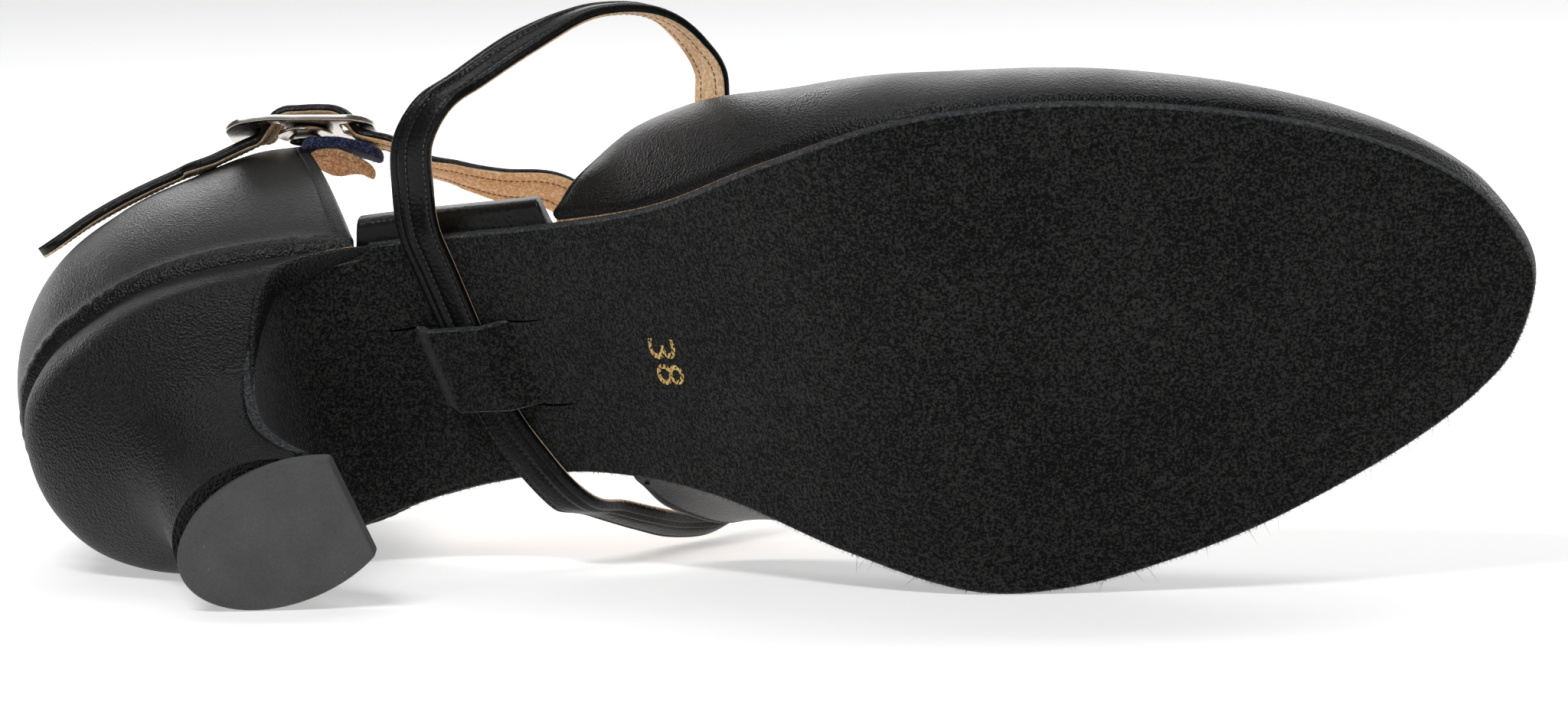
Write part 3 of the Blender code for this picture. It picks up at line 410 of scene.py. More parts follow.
def blank_finish(name, roughness, metallic=0.0, tone=None):
    """A new material with its tree and its shader."""
    finish = bpy.data.materials.new(name)
    finish.use_nodes = True
    shader = finish.node_tree.nodes["Principled BSDF"]
    shader.inputs["Roughness"].default_value = roughness
    shader.inputs["Metallic"].default_value = metallic
    if tone:
        shader.inputs["Base Color"].default_value = (*tone, 1.0)
    return finish, finish.node_tree, shader


def two_tone(tree, factor, dark, light):
    """A colour between two, by a factor socket."""
    ends = {0: factor, 6: (*dark, 1.0), 7: (*light, 1.0)}
    return add_node(tree, "ShaderNodeMix", ends, data_type="RGBA").outputs[2]


def object_place(tree):
    """The socket of a point's own coordinates."""
    return add_node(tree, "ShaderNodeTexCoord").outputs["Object"]


def noise(tree, place, scale, detail=2.0):
    """Cloudy noise of a scale, as a value socket."""
    taken = {"Vector": place, "Scale": scale, "Detail": detail}
    return add_node(tree, "ShaderNodeTexNoise", taken).outputs[0]


def with_share(tree, base, share, added):
    """A value and a share of another."""
    terms = {0: added, 1: share, 2: base}
    return add_node(tree, "ShaderNodeMath", terms, operation="MULTIPLY_ADD").outputs[0]


def mapped(tree, value, low, high, to_low=0.0, to_high=1.0):
    """A value moved from one range to another."""
    ends = {0: value, 1: low, 2: high, 3: to_low, 4: to_high}
    return add_node(tree, "ShaderNodeMapRange", ends).outputs[0]


def roughen(tree, shader, height, strength, distance):
    """Bump on a shader from a height socket."""
    bump = add_node(tree, "ShaderNodeBump", {"Height": height, "Strength": strength, "Distance": distance})
    tree.links.new(bump.outputs[0], shader.inputs["Normal"])


def suede(name, dark, light, fleck, nap, sheen):
    """Brushed suede: short fibres in two tones, brushed one way here and another there."""
    finish, tree, shader = blank_finish(name, 0.95)
    place = object_place(tree)
    fibres = with_share(tree, noise(tree, place, 1 / fleck, 4.0), 0.5, noise(tree, place, 0.5 / fleck))
    toned = with_share(tree, fibres, BRUSHED_SHARE, noise(tree, place, BRUSHED_SCALE))
    tone = two_tone(tree, mapped(tree, toned, SUEDE_TONES_FROM, SUEDE_TONES_TO), dark, light)
    tree.links.new(tone, shader.inputs["Base Color"])
    roughen(tree, shader, fibres, 0.9, nap)
    shader.inputs["Sheen Weight"].default_value = sheen
    shader.inputs["Sheen Roughness"].default_value = 0.45
    shader.inputs["Specular IOR Level"].default_value = 0.12
    return finish


sole_suede = suede("sole_suede", SUEDE_DARK, SUEDE_LIGHT, SUEDE_FLECK, 0.0004, 0.10)
cut_suede = suede("cut_suede", CUT_DARK, CUT_LIGHT, 0.0005, 0.0004, 0.15)

edge_angles = np.linspace(0.0, math.pi / 2, 6)
round_inset = SUEDE_EDGE_ROUND * (1 - np.cos(edge_angles))
round_rise = SUEDE_EDGE_ROUND * (1 - np.sin(edge_angles))
across_steps = np.linspace(0.0, 1.0, 46)[1:-1]
sole_from = BREAST_AT + SEAT_LAP
start_lateral = int(np.argmax(EDGE[: TOE_INDEX + 1, 0] >= sole_from))
start_medial = TOE_INDEX + int(np.argmax(EDGE[TOE_INDEX:, 0] <= sole_from))
lateral_sole = evenly(EDGE[start_lateral : TOE_INDEX + 1], SIDE_POINTS)
medial_sole = evenly(EDGE[TOE_INDEX : start_medial + 1][::-1], SIDE_POINTS)
lateral_out = unit(np.gradient(lateral_sole, axis=0))[:, ::-1] * (1, -1)
medial_out = unit(np.gradient(medial_sole, axis=0))[:, ::-1] * (-1, 1)
lateral_out[-1] = medial_out[-1] = (1.0, 0.0)


def cut_ring(first, second, first_in, second_in, place, thick):
    """A ring of the sole from one edge to the other: rounded below, square above."""
    below = [(first + first_in * d, z) for d, z in zip(round_inset, round_rise)]
    left_foot, right_foot = first + first_in * SUEDE_EDGE_ROUND, second + second_in * SUEDE_EDGE_ROUND
    below += [(left_foot + (right_foot - left_foot) * t, 0.0) for t in across_steps]
    below += [(second + second_in * d, z) for d, z in zip(round_inset[::-1], round_rise[::-1])]
    above = [(second, thick * 0.6), (second, thick)]
    above += [(second + (first - second) * t, thick) for t in across_steps[3::5]]
    above += [(first, thick), (first, thick * 0.6)]
    return np.array([place(spot, z) for spot, z in below + above])


def on_sole(spot, z):
    """A point at a height above the sole's underside."""
    return np.array([spot[0], spot[1], float(underside(spot[0])) + z])


sole_rings = []
for k in range(len(lateral_sole) - 1, -1, -1):
    cut = CORNER_CUT * float(1 - smoothstep(lateral_sole[k, 0], sole_from, CORNER_CUT_TO))
    foot = lateral_sole[k] - lateral_out[k] * cut
    ring = cut_ring(foot, medial_sole[k], -lateral_out[k], -medial_out[k], on_sole, SOLE_THICKNESS)
    sole_rings.append(ring)
flap_heights, flap_sections, flap_path, flap_inward = breast_line(FLAP_LEVELS)
for h, (x, z), (nx, nz), section in zip(flap_heights, flap_path, flap_inward, flap_sections):
    _, centre, turn, _, _, across = section
    follow = seat_follow(h)
    corners = []
    for side, edge in zip((-1, 1), half_widths(x)):
        dx, dy = -side * across * math.sin(-turn), side * across * math.cos(turn)
        corners.append(np.array([x + dx * (1 - follow), (centre + dy) * (1 - follow) + edge * follow, z]))
    thick = FLAP_THICKNESS + (SOLE_THICKNESS - FLAP_THICKNESS) * h**6
    into_heel = np.array([nx, 0.0, nz])
    inward = unit(corners[1] - corners[0])
    trimmed = CORNER_CUT * float(smoothstep(h, 0.70, FLAP_FROM))
    corners[0] = corners[0] + inward * trimmed
    ring = cut_ring(corners[0], corners[1], inward, -inward, lambda s, d, n=into_heel: s + n * d, thick)
    sole_rings.append(ring)
below_count = 2 * len(edge_angles) + len(across_steps)
sole_bands = [0] * len(sole_rings[0])
for j in (*range(3), *range(below_count - 4, below_count + 2), -3, -2, -1):
    sole_bands[j] = 1
settle(skin("suede_outsole", sole_rings, [sole_suede, cut_suede], sole_bands), "outsole")

# Fuzz of the suede: loose fibres lie flat over the nap and stand out along every cut edge.
# They are grown on the suede by one tree, as thin three-sided cones.
NAP_HAIRS_A_SQUARE_METRE = 900000.0
EDGE_HAIRS_A_SQUARE_METRE = 7000000.0
STRAY_HAIRS_A_SQUARE_METRE = 110000.0
HAIR_LENGTH = 0.0009
STRAY_HAIR_LENGTH = 0.0042
HAIR_THICKNESS = 0.00005
HAIR_ABOVE_PAPER = 0.00005
HALF_TURN = 3.14


def start_tree(name, source, numbers):
    """A new tree that takes a mesh, some numbers and a material, with the sockets of what it takes."""
    tree = bpy.data.node_groups.new(name, "GeometryNodeTree")
    tree.interface.new_socket(source, in_out="INPUT", socket_type="NodeSocketGeometry")
    for label in numbers:
        tree.interface.new_socket(label, in_out="INPUT", socket_type="NodeSocketFloat")
    tree.interface.new_socket("Finish", in_out="INPUT", socket_type="NodeSocketMaterial")
    tree.interface.new_socket("Grown", in_out="OUTPUT", socket_type="NodeSocketGeometry")
    return tree, tree.nodes.new("NodeGroupInput").outputs


def end_tree(tree, copies, finish):
    """The tree with its copies made real and given their material."""
    real = add_node(tree, "GeometryNodeRealizeInstances", {"Geometry": copies.outputs[0]})
    dyed = add_node(tree, "GeometryNodeSetMaterial", {"Geometry": real.outputs[0], "Material": finish})
    tree.links.new(dyed.outputs[0], tree.nodes.new("NodeGroupOutput").inputs[0])
    return tree


def hair_tree():
    """Thin cones on the faces of a surface, each leaning its own way."""
    tree, given = start_tree("suede_hairs", "Surface", ("Density", "Length", "Thickness", "Lean"))
    taken = {"Mesh": given["Surface"], "Density": given["Density"], "Seed": 7}
    spread = add_node(tree, "GeometryNodeDistributePointsOnFaces", taken)
    sizes = {"Vertices": 3, "Radius Top": 0.0, "Radius Bottom": given["Thickness"], "Depth": given["Length"]}
    cone = add_node(tree, "GeometryNodeMeshCone", sizes, fill_type="NONE")
    lean = given["Lean"]
    back = add_node(tree, "ShaderNodeMath", {0: lean, 1: -1.0}, operation="MULTIPLY").outputs[0]
    low = add_node(tree, "ShaderNodeCombineXYZ", {0: back, 1: back, 2: -HALF_TURN}).outputs[0]
    high = add_node(tree, "ShaderNodeCombineXYZ", {0: lean, 1: lean, 2: HALF_TURN}).outputs[0]
    tilt = add_node(tree, "FunctionNodeRandomValue", {0: low, 1: high, "Seed": 11}, data_type="FLOAT_VECTOR")
    turns = {0: spread.outputs["Rotation"], 1: tilt.outputs[0]}
    turned = add_node(tree, "FunctionNodeRotateRotation", turns, rotation_space="LOCAL")
    size = add_node(tree, "FunctionNodeRandomValue", {2: 0.35, 3: 1.0, "Seed": 13}, data_type="FLOAT")
    copied = {"Points": spread.outputs["Points"], "Instance": cone.outputs["Mesh"]}
    copied.update({"Rotation": turned.outputs[0], "Scale": size.outputs[1]})
    return end_tree(tree, add_node(tree, "GeometryNodeInstanceOnPoints", copied), given["Finish"])


def grown(name, base, tree, values):
    """A plain mesh piece of what a tree makes on a base, which is then removed."""
    grower = base.modifiers.new("grown", "NODES")
    grower.node_group = tree
    for item in tree.interface.items_tree:
        if item.item_type == "SOCKET" and item.in_out == "INPUT" and item.name in values:
            grower[item.identifier] = values[item.name]
    graph = bpy.context.evaluated_depsgraph_get()
    mesh = bpy.data.meshes.new_from_object(base.evaluated_get(graph))
    mesh.name = name
    piece = bpy.data.objects.new(name, mesh)
    bpy.context.scene.collection.objects.link(piece)
    bpy.data.objects.remove(base)
    return piece


SUEDE_HAIRS = hair_tree()
hair_finish = blank_finish("suede_hair", 0.85, tone=(0.045, 0.047, 0.048))[0]


def fuzz(name, rings, density, length, lean, finish=hair_finish):
    """Hairs grown on the surface between rings, none of them below the paper."""
    surface = skin("hair_patch", rings, [finish], closed=False)
    values = {"Density": density, "Length": length, "Thickness": HAIR_THICKNESS, "Lean": lean}
    hairs = grown(name, surface, SUEDE_HAIRS, {**values, "Finish": finish})
    spots = np.empty(3 * len(hairs.data.vertices))
    hairs.data.vertices.foreach_get("co", spots)
    spots[2::3] = np.maximum(spots[2::3], HAIR_ABOVE_PAPER)
    hairs.data.vertices.foreach_set("co", spots)
    settle(hairs)


def lateral_rims(rings):
    """The cut edge on the lateral side of each ring of the sole."""
    return [np.vstack([ring[-3:], ring[:3]]) for ring in rings]


def nap_faces(rings):
    """The nap side of each ring of the sole, between its rounded edges."""
    return [ring[len(edge_angles) - 1 : below_count - len(edge_angles) + 1] for ring in rings]


medial_rims = [ring[below_count - 3 : below_count + 2] for ring in sole_rings]
fuzz("sole_nap", nap_faces(sole_rings), NAP_HAIRS_A_SQUARE_METRE, HAIR_LENGTH, 1.45)
fuzz("sole_fuzz_lateral", lateral_rims(sole_rings), EDGE_HAIRS_A_SQUARE_METRE, HAIR_LENGTH, 0.9)
fuzz("sole_fuzz_medial", medial_rims, EDGE_HAIRS_A_SQUARE_METRE, HAIR_LENGTH, 0.9)
fuzz("sole_stray_hairs", medial_rims[20:190], STRAY_HAIRS_A_SQUARE_METRE, STRAY_HAIR_LENGTH, 0.7)

# Sole loop: the band of the sole that is left standing between two slits, so that the strap runs under
# it. Its cut sides are pale with fuzz, and both slits run on a little way past the band.
STRAP_WIDTH = 0.0075
STRAP_THICKNESS = 0.0019
LOOP_AT = 0.0790
LOOP_LENGTH = 0.0147
LOOP_THICKNESS = 0.0016
LOOP_RAMP = 0.0045
LOOP_SINK = 0.0017
SLIT_RUN = 0.0052
SLIT_TUCK = 0.0022
SLIT_WIDTH = 0.0004
SLIT_PROFILE = ((-1, -0.0004), (-1, 0.000018), (0, 0.00006), (1, 0.000018), (1, -0.0004))


def strap_x_at(y):
    """Middle of the strap under the sole, which crosses it at a slant."""
    return LOOP_AT + 0.19 * y


loop_rise = 2 * CLEARANCE + STRAP_THICKNESS
loop_half_flat = STRAP_WIDTH / 2 + 2 * CLEARANCE
loop_half_all = loop_half_flat + LOOP_RAMP
loop_near, loop_far = -0.68 * LOOP_LENGTH, 0.32 * LOOP_LENGTH
loop_rings = []
for along in np.linspace(-loop_half_all, loop_half_all, 57):
    ramp = float(np.clip((loop_half_all - abs(along)) / LOOP_RAMP, 0.0, 1.0))
    lift = loop_rise * (3 * ramp**2 - 2 * ramp**3) - LOOP_SINK * (1 - ramp)

    def on_band(spot, z, along=along, lift=lift):
        x = strap_x_at(float(spot[0])) + along
        foot = np.array([x, float(spot[0]), float(underside(x))])
        return foot + underside_normal(x) * (lift + LOOP_THICKNESS - z)

    feet = np.array([loop_near]), np.array([loop_far])
    loop_rings.append(cut_ring(*feet, 1.0, -1.0, on_band, LOOP_THICKNESS))
settle(skin("sole_loop", loop_rings, [sole_suede, cut_suede], sole_bands))
fuzz("sole_loop_nap", nap_faces(loop_rings), NAP_HAIRS_A_SQUARE_METRE, 0.0008, 1.4)
fuzz("sole_loop_fuzz", lateral_rims(loop_rings), EDGE_HAIRS_A_SQUARE_METRE, 0.0005, 1.0)

slit_dark, _, slit_shader = blank_finish("slit_shadow", 1.0, tone=(0.0012, 0.0012, 0.0012))
slit_shader.inputs["Specular IOR Level"].default_value = 0.0
for label, y, way in (("near_back", loop_near, -1), ("near_front", loop_near, 1), ("far_front", loop_far, 1)):
    slit_rings = []
    for t in np.linspace(0.0, 1.0, 12):
        x = strap_x_at(y) + way * (loop_half_all - SLIT_TUCK + t * (SLIT_RUN + SLIT_TUCK))
        side = np.array([0.0, SLIT_WIDTH / 2 * (1 - 0.8 * t**3), 0.0])
        foot = np.array([x, y + 0.0003 * math.sin(3.0 * t), float(underside(x))])
        normal = underside_normal(x)
        slit_rings.append(np.array([foot + side * a + normal * b for a, b in SLIT_PROFILE]))
    settle(skin("slit_" + label, slit_rings, [slit_dark]))

# Size mark: two plain digits pressed into the sole with gold foil. The foil took hold in patches
# only, because the nap is rough, so each digit is broken.
DIGIT_HEIGHT = 0.0056
DIGIT_WIDTH = 0.0036
FOIL_THICKNESS = 0.00004
FOIL_ABOVE_SOLE = 0.00010
FOIL_GRID = 0.00022
FOIL_LOST_BELOW = -0.75
DIGIT_PLACES = (("3", 0.11150, -0.0071), ("8", 0.11195, -0.0027))
foil_finish, foil_tree, foil_shader = blank_finish("gold_foil", 0.32, 1.0, (0.86, 0.58, 0.22))
roughen(foil_tree, foil_shader, noise(foil_tree, object_place(foil_tree), 2600.0), 1.0, 0.0003)


def foil_took(spot):
    """Whether the foil took hold at a spot of the sole."""
    x, y = spot.x, spot.y
    along = math.sin(x * 5200.0 + 3.0 * math.sin(y * 3100.0))
    return along + math.sin(y * 6900.0 + 2.0 * math.sin(x * 4100.0)) > FOIL_LOST_BELOW


for digit, foot_x, start_y in DIGIT_PLACES:
    words = bpy.data.curves.new("digit_" + digit, "FONT")
    words.body = digit
    words.resolution_u = 6
    drawn = bpy.data.objects.new("digit_" + digit, words)
    bpy.context.scene.collection.objects.link(drawn)
    bpy.context.view_layer.update()
    flat = bpy.data.meshes.new_from_object(drawn.evaluated_get(bpy.context.evaluated_depsgraph_get()))
    bpy.data.objects.remove(drawn)
    work = bmesh.new()
    work.from_mesh(flat)
    bmesh.ops.triangulate(work, faces=work.faces)
    low = np.array([min(v.co[k] for v in work.verts) for k in (0, 1)])
    high = np.array([max(v.co[k] for v in work.verts) for k in (0, 1)])
    for v in work.verts:
        v.co.x = (v.co.x - low[0]) / (high[0] - low[0]) * DIGIT_WIDTH
        v.co.y = (v.co.y - low[1]) / (high[1] - low[1]) * DIGIT_HEIGHT
    for _ in range(5):
        long_edges = [e for e in work.edges if e.calc_length() > FOIL_GRID]
        bmesh.ops.subdivide_edges(work, edges=long_edges, cuts=1)
        bmesh.ops.triangulate(work, faces=work.faces)
    lost = [f for f in work.faces if not foil_took(f.calc_center_median())]
    bmesh.ops.delete(work, geom=lost, context="FACES")
    slope = float(underside(foot_x + 0.002) - underside(foot_x - 0.002)) / 0.004
    for v in work.verts:
        x = foot_x + v.co.y / math.sqrt(1 + slope**2) - 0.0022
        y = start_y + v.co.x
        spot = np.array([x, y, float(underside(x))]) + underside_normal(x) * FOIL_ABOVE_SOLE
        v.co = laid_down(spot)
    bmesh.ops.recalc_face_normals(work, faces=work.faces)
    bmesh.ops.solidify(work, geom=work.faces[:], thickness=FOIL_THICKNESS)
    bmesh.ops.recalc_face_normals(work, faces=work.faces)
    settle(mesh_piece("size_digit_" + digit, work, [foil_finish], None))

# Heel block: a moulded core covered with one piece of pebbled leather, drawn tight round the back and
# rolled over the front corners onto the flap of the sole.
LEATHER_BLACK = (0.0030, 0.0029, 0.0028)
LEATHER_SPECULAR = 0.22
HEEL_PEBBLE = 0.00048
HEEL_LEVELS = 84
HEEL_FLAP_GAP = 0.00005
CORNER_ROLL = 0.0011
SECTION_POINTS = 181
BREAST_POINTS = 60
HEEL_POINTS = 260
ROLL_POINTS = 28
ROLL_FROM = 0.50
ROLL_TO = 0.0685
ROLL_THIN = 0.0002
ROLL_WIDE = 0.0022
ROLL_SUNK = 0.0006
ROLL_FLAT = 0.0003
ROLL_HIGH = 0.0009
LEATHER_LOW = 0.0030


def grained_leather(name, pebble, depth, roughness, tone=LEATHER_BLACK):
    """Finished leather: small raised cells with fine creases between them and a soft gloss."""
    finish, tree, shader = blank_finish(name, roughness)
    place = object_place(tree)
    turned = add_node(tree, "ShaderNodeMapping", {"Vector": place, "Rotation": (0.3, 0.5, 0.8)}).outputs[0]
    grid = {"Vector": turned, "Scale": 1 / pebble, "Smoothness": 0.35}
    cells = add_node(tree, "ShaderNodeTexVoronoi", grid, feature="SMOOTH_F1")
    fine = noise(tree, place, 2.2 / pebble, 3.0)
    roughen(tree, shader, with_share(tree, cells.outputs["Distance"], 0.45, fine), 0.75, depth)
    gloss = mapped(tree, noise(tree, place, 60.0), 0.3, 0.7, roughness - 0.05, roughness + 0.07)
    tree.links.new(gloss, shader.inputs["Roughness"])
    lighter = tuple(2.1 * c for c in tone)
    toned = two_tone(tree, mapped(tree, fine, 0.45, 0.8), tone, lighter)
    tree.links.new(toned, shader.inputs["Base Color"])
    shader.inputs["Specular IOR Level"].default_value = LEATHER_SPECULAR
    return finish


heel_leather = grained_leather("heel_leather", HEEL_PEBBLE, 0.00042, 0.38)


def section_ring(front, centre, turn, length, half, breast_half, z, count):
    """A D with a round back and a straight breast, turned about the middle of its breast."""
    long_axis = HEEL_ROUND_SHARE * length
    fore = length - long_axis
    fore_axis = fore / math.sqrt(max(1e-6, 1 - (breast_half / half) ** 2))
    end_angle = math.asin(min(1.0, fore / fore_axis))
    angles = np.linspace(-(math.pi / 2 + end_angle), math.pi / 2 + end_angle, count)
    x = np.where(np.abs(angles) <= math.pi / 2, -long_axis * np.cos(angles), -fore_axis * np.cos(angles))
    local = np.column_stack([x - fore, half * np.sin(angles)])
    cos, sin = math.cos(-turn), math.sin(-turn)
    turned = local @ np.array([[cos, sin], [-sin, cos]])
    return np.column_stack([turned[:, 0] + front, turned[:, 1] + centre, np.full(count, z)])


def closed_evenly(ring, count):
    """A closed line with evenly spaced points, the first one kept."""
    return evenly(np.vstack([ring, ring[:1]]), count + 1)[:-1]


def rolled(ring, reach):
    """A closed line with its corners rounded by a moving average over a reach to each side."""
    spacing = float(lengths_along(ring)[-1]) / (len(ring) - 1)
    span = max(1, int(round(reach / spacing)))
    weights = np.hanning(2 * span + 3)[1:-1]
    weights = weights / weights.sum()
    padded = np.vstack([ring[-span:], ring, ring[:span]])
    return np.column_stack([np.convolve(padded[:, k], weights, mode="valid") for k in range(3)])


seat_top = HEEL_HEIGHT + SOLE_THICKNESS
covered_levels = np.linspace(LEATHER_LOW / HEEL_HEIGHT, FLAP_FROM, HEEL_LEVELS) * HEEL_HEIGHT
heel_levels = np.concatenate([covered_levels, np.linspace(HEEL_HEIGHT, seat_top, 6)])
hidden_heights, _, hidden_path, hidden_inward = breast_line(80)
hidden_gap = FLAP_THICKNESS + (SOLE_THICKNESS - FLAP_THICKNESS) * hidden_heights**6 + HEEL_FLAP_GAP
hidden = hidden_path + hidden_inward * hidden_gap[:, None]
hidden = np.vstack([(BREAST_AT + SEAT_LAP, seat_top + CLEARANCE), hidden])
hidden_order = np.argsort(hidden[:, 1])
heel_rings = []
for z in heel_levels:
    h = min(z / HEEL_HEIGHT, 1.0)
    front, centre, turn, length, half, across = heel_sections([h])[0]
    behind = float(np.interp(z, hidden[hidden_order, 1], hidden[hidden_order, 0]))
    if z < HEEL_HEIGHT:
        behind = min(behind, front - FLAP_THICKNESS - HEEL_FLAP_GAP)
    ring = section_ring(behind, centre, turn, length - (front - behind), half, across, z, SECTION_POINTS)
    outline, _ = edge_stretch(behind, behind, len(ring), False)
    follow = seat_follow(h)
    ring[:, :2] = ring[:, :2] * (1 - follow) + outline * follow
    roll = float(smoothstep(h, 0.55, 0.75))
    from_corner = lengths_along(ring)
    ring[:, 0] += roll * (front - behind) * (1 - smoothstep(from_corner, 0.0008, 0.0060))
    breast = np.linspace(ring[-1], ring[0], BREAST_POINTS)[1:-1]
    heel_rings.append(rolled(closed_evenly(np.vstack([ring, breast]), HEEL_POINTS), CORNER_ROLL))
heel_cover = skin("heel_cover", heel_rings, [heel_leather])
roll_path, roll_faces = [], []
for h, (x, z), (nx, nz), section in zip(flap_heights, flap_path, flap_inward, flap_sections):
    _, centre, turn, _, _, across = section
    follow = seat_follow(h)
    lateral_y = (centre - across * math.cos(turn)) * (1 - follow) + half_widths(x)[0] * follow
    roll_path.append((x - across * math.sin(turn) * (1 - follow), lateral_y, z))
    roll_faces.append((-nx, 0.0, -nz))
roll_path, roll_faces = roll_path[::-1], roll_faces[::-1]
for x in np.linspace(sole_from, ROLL_TO, 14):
    roll_path.append((x, half_widths(x)[0], float(underside(x))))
    roll_faces.append(tuple(underside_normal(x)))
roll_path, roll_faces = np.array(roll_path), np.array(roll_faces)
kept = roll_path[:, 2] > ROLL_FROM * HEEL_HEIGHT
roll_path, roll_faces = roll_path[kept], roll_faces[kept]
roll_keys = lengths_along(roll_path)
roll_line = smooth_table(roll_keys, np.hstack([roll_path, roll_faces]), np.linspace(0.0, roll_keys[-1], 90))
roll_ends = lengths_along(roll_line[:, :3])
roll_tangent = unit(np.gradient(roll_line[:, :3], axis=0))
roll_rings = []
for spot, along, share in zip(roll_line, roll_tangent, roll_ends / roll_ends[-1]):
    facing = unit(spot[3:] - along * np.dot(spot[3:], along))
    inward = np.cross(facing, along)
    inward = inward * np.sign(inward[1])
    swell = float(smoothstep(share, 0.0, 0.45) * (1 - smoothstep(share, 0.62, 1.0)))
    half = ROLL_THIN + (ROLL_WIDE - ROLL_THIN) * swell
    middle = spot[:3] + inward * (half - ROLL_SUNK * swell) - facing * (ROLL_SUNK - 0.0002 * swell)
    turns = np.linspace(0.0, 2 * math.pi, ROLL_POINTS, endpoint=False)[:, None]
    oval = inward * np.cos(turns) * half + facing * np.sin(turns) * (ROLL_FLAT + ROLL_HIGH * swell)
    roll_rings.append(middle + oval)
settle(skin("heel_cover_roll", roll_rings, [heel_leather]))
settle(heel_cover, "heel_block")

# Top piece: a hard rubber slice nailed under the heel, ground flush with it and lightly rubbed.
RUBBER_EDGE = 0.0005
RUBBER_DARK = (0.050, 0.050, 0.050)
RUBBER_LIGHT = (0.080, 0.080, 0.079)
RUBBER_SPECK = (0.20, 0.20, 0.19, 1.0)
RUBBER_FINE = 2600.0
RUBBER_STEP = 0.0008
rubber, rubber_tree, rubber_shader = blank_finish("heel_rubber", 0.72)
rubber_place = object_place(rubber_tree)
rubber_fine = noise(rubber_tree, rubber_place, RUBBER_FINE)
rubber_cloud = noise(rubber_tree, rubber_place, 140.0, 4.0)
rubber_mix = add_node(rubber_tree, "ShaderNodeMath", {0: rubber_cloud, 1: rubber_fine}).outputs[0]
rubber_grey = two_tone(rubber_tree, mapped(rubber_tree, rubber_mix, 0.7, 1.35), RUBBER_DARK, RUBBER_LIGHT)
specks = add_node(rubber_tree, "ShaderNodeTexVoronoi", {"Vector": rubber_place, "Scale": 330.0})
speck_mask = mapped(rubber_tree, specks.outputs["Distance"], 0.045, 0.02)
speck_tones = {0: speck_mask, 6: rubber_grey, 7: RUBBER_SPECK}
speckled = add_node(rubber_tree, "ShaderNodeMix", speck_tones, data_type="RGBA")
rubber_tree.links.new(speckled.outputs[2], rubber_shader.inputs["Base Color"])
roughen(rubber_tree, rubber_shader, rubber_fine, 0.35, 0.0002)


def drawn_in(ring, distance):
    """A closed line in a level plane, drawn in by a distance along its normals."""
    ahead = np.roll(ring, -1, axis=0) - np.roll(ring, 1, axis=0)
    normals = unit(np.column_stack([ahead[:, 1], -ahead[:, 0]]))
    area = np.sum(ring[:, 0] * np.roll(ring[:, 1], -1) - np.roll(ring[:, 0], -1) * ring[:, 1])
    moved = ring.copy()
    moved[:, :2] -= normals * distance * np.sign(area)
    return moved


front, centre, turn, length, half, across = heel_sections([0.0])[0]
foot_ring = section_ring(front, centre, turn, length, half, across, 0.0, SECTION_POINTS)
foot_ring = np.vstack([foot_ring, np.linspace(foot_ring[-1], foot_ring[0], BREAST_POINTS)[1:-1]])
foot_ring = rolled(closed_evenly(foot_ring, HEEL_POINTS), 0.0006)
rubber_levels = [(RUBBER_EDGE * (1 - math.sin(a)), RUBBER_EDGE * (1 - math.cos(a))) for a in edge_angles]
rubber_levels += [(0.0, z) for z in np.linspace(0.0012, LEATHER_LOW - 0.0002, 4)]
rubber_levels += [(RUBBER_STEP, LEATHER_LOW), (RUBBER_STEP, TOP_PIECE_THICKNESS - 0.0004)]
rubber_levels.append((0.0010, TOP_PIECE_THICKNESS))
rubber_rings = []
for inset, z in rubber_levels:
    ring = drawn_in(foot_ring, inset)
    ring[:, 2] = z
    rubber_rings.append(ring)
settle(skin("rubber_top_piece", rubber_rings, [rubber]), "top_piece")

# Insole: a stiff board with its shank, wrapped in black leather that shows as a plain band along the
# waist, and covered inside the shoe with a padded sock of tan leather.
INSOLE_THICKNESS = 0.0050
INSOLE_OVERHANG_LATERAL = 0.0038
INSOLE_OVERHANG_MEDIAL = 0.0012
INSOLE_STEP = 0.0020
VAMP_BACK_GAP = 0.0008
UPPER_WALL = 0.0017
UPPER_OVERHANG = 0.0004
COUNTER_FRONT_LATERAL = 0.242
COUNTER_FRONT_MEDIAL = 0.258
VAMP_BACK_LATERAL = 0.390
VAMP_BACK_MEDIAL = 0.404
LINING_TAN = (0.62, 0.38, 0.19)
INSOLE_CORNER = 0.30 * INSOLE_THICKNESS
SOCK_HOLLOW = 0.0006
wrap_leather = grained_leather("wrap_leather", 0.0008, 0.00010, 0.40)
lining_leather = grained_leather("lining_leather", 0.0006, 0.00012, 0.60, LINING_TAN)
inset_line = EDGE + EDGE_NORMALS * (UPPER_OVERHANG - UPPER_WALL - 1.5 * CLEARANCE)
inset_toe = int(np.argmax(inset_line[:, 0]))
inset_lateral = inset_line[: inset_toe + 1][np.argsort(inset_line[: inset_toe + 1, 0], kind="stable")]
inset_medial = inset_line[inset_toe:][np.argsort(inset_line[inset_toe:, 0], kind="stable")]
insole_from, insole_to = inset_line[:, 0].min() + 0.0002, inset_line[:, 0].max() - 0.0002
insole_turns = np.cos(np.linspace(0, math.pi, 90))
insole_places = (insole_from + insole_to) / 2 - insole_turns * (insole_to - insole_from) / 2
insole_places = np.sort(np.concatenate([insole_places, np.linspace(0.058, 0.104, 150)]))
side_angles = np.linspace(-math.pi / 2, math.pi / 2, 9)
insole_sides = (
    (inset_lateral, -INSOLE_OVERHANG_LATERAL, COUNTER_FRONT_LATERAL, VAMP_BACK_LATERAL),
    (inset_medial, INSOLE_OVERHANG_MEDIAL, COUNTER_FRONT_MEDIAL, VAMP_BACK_MEDIAL),
)
insole_rings = []
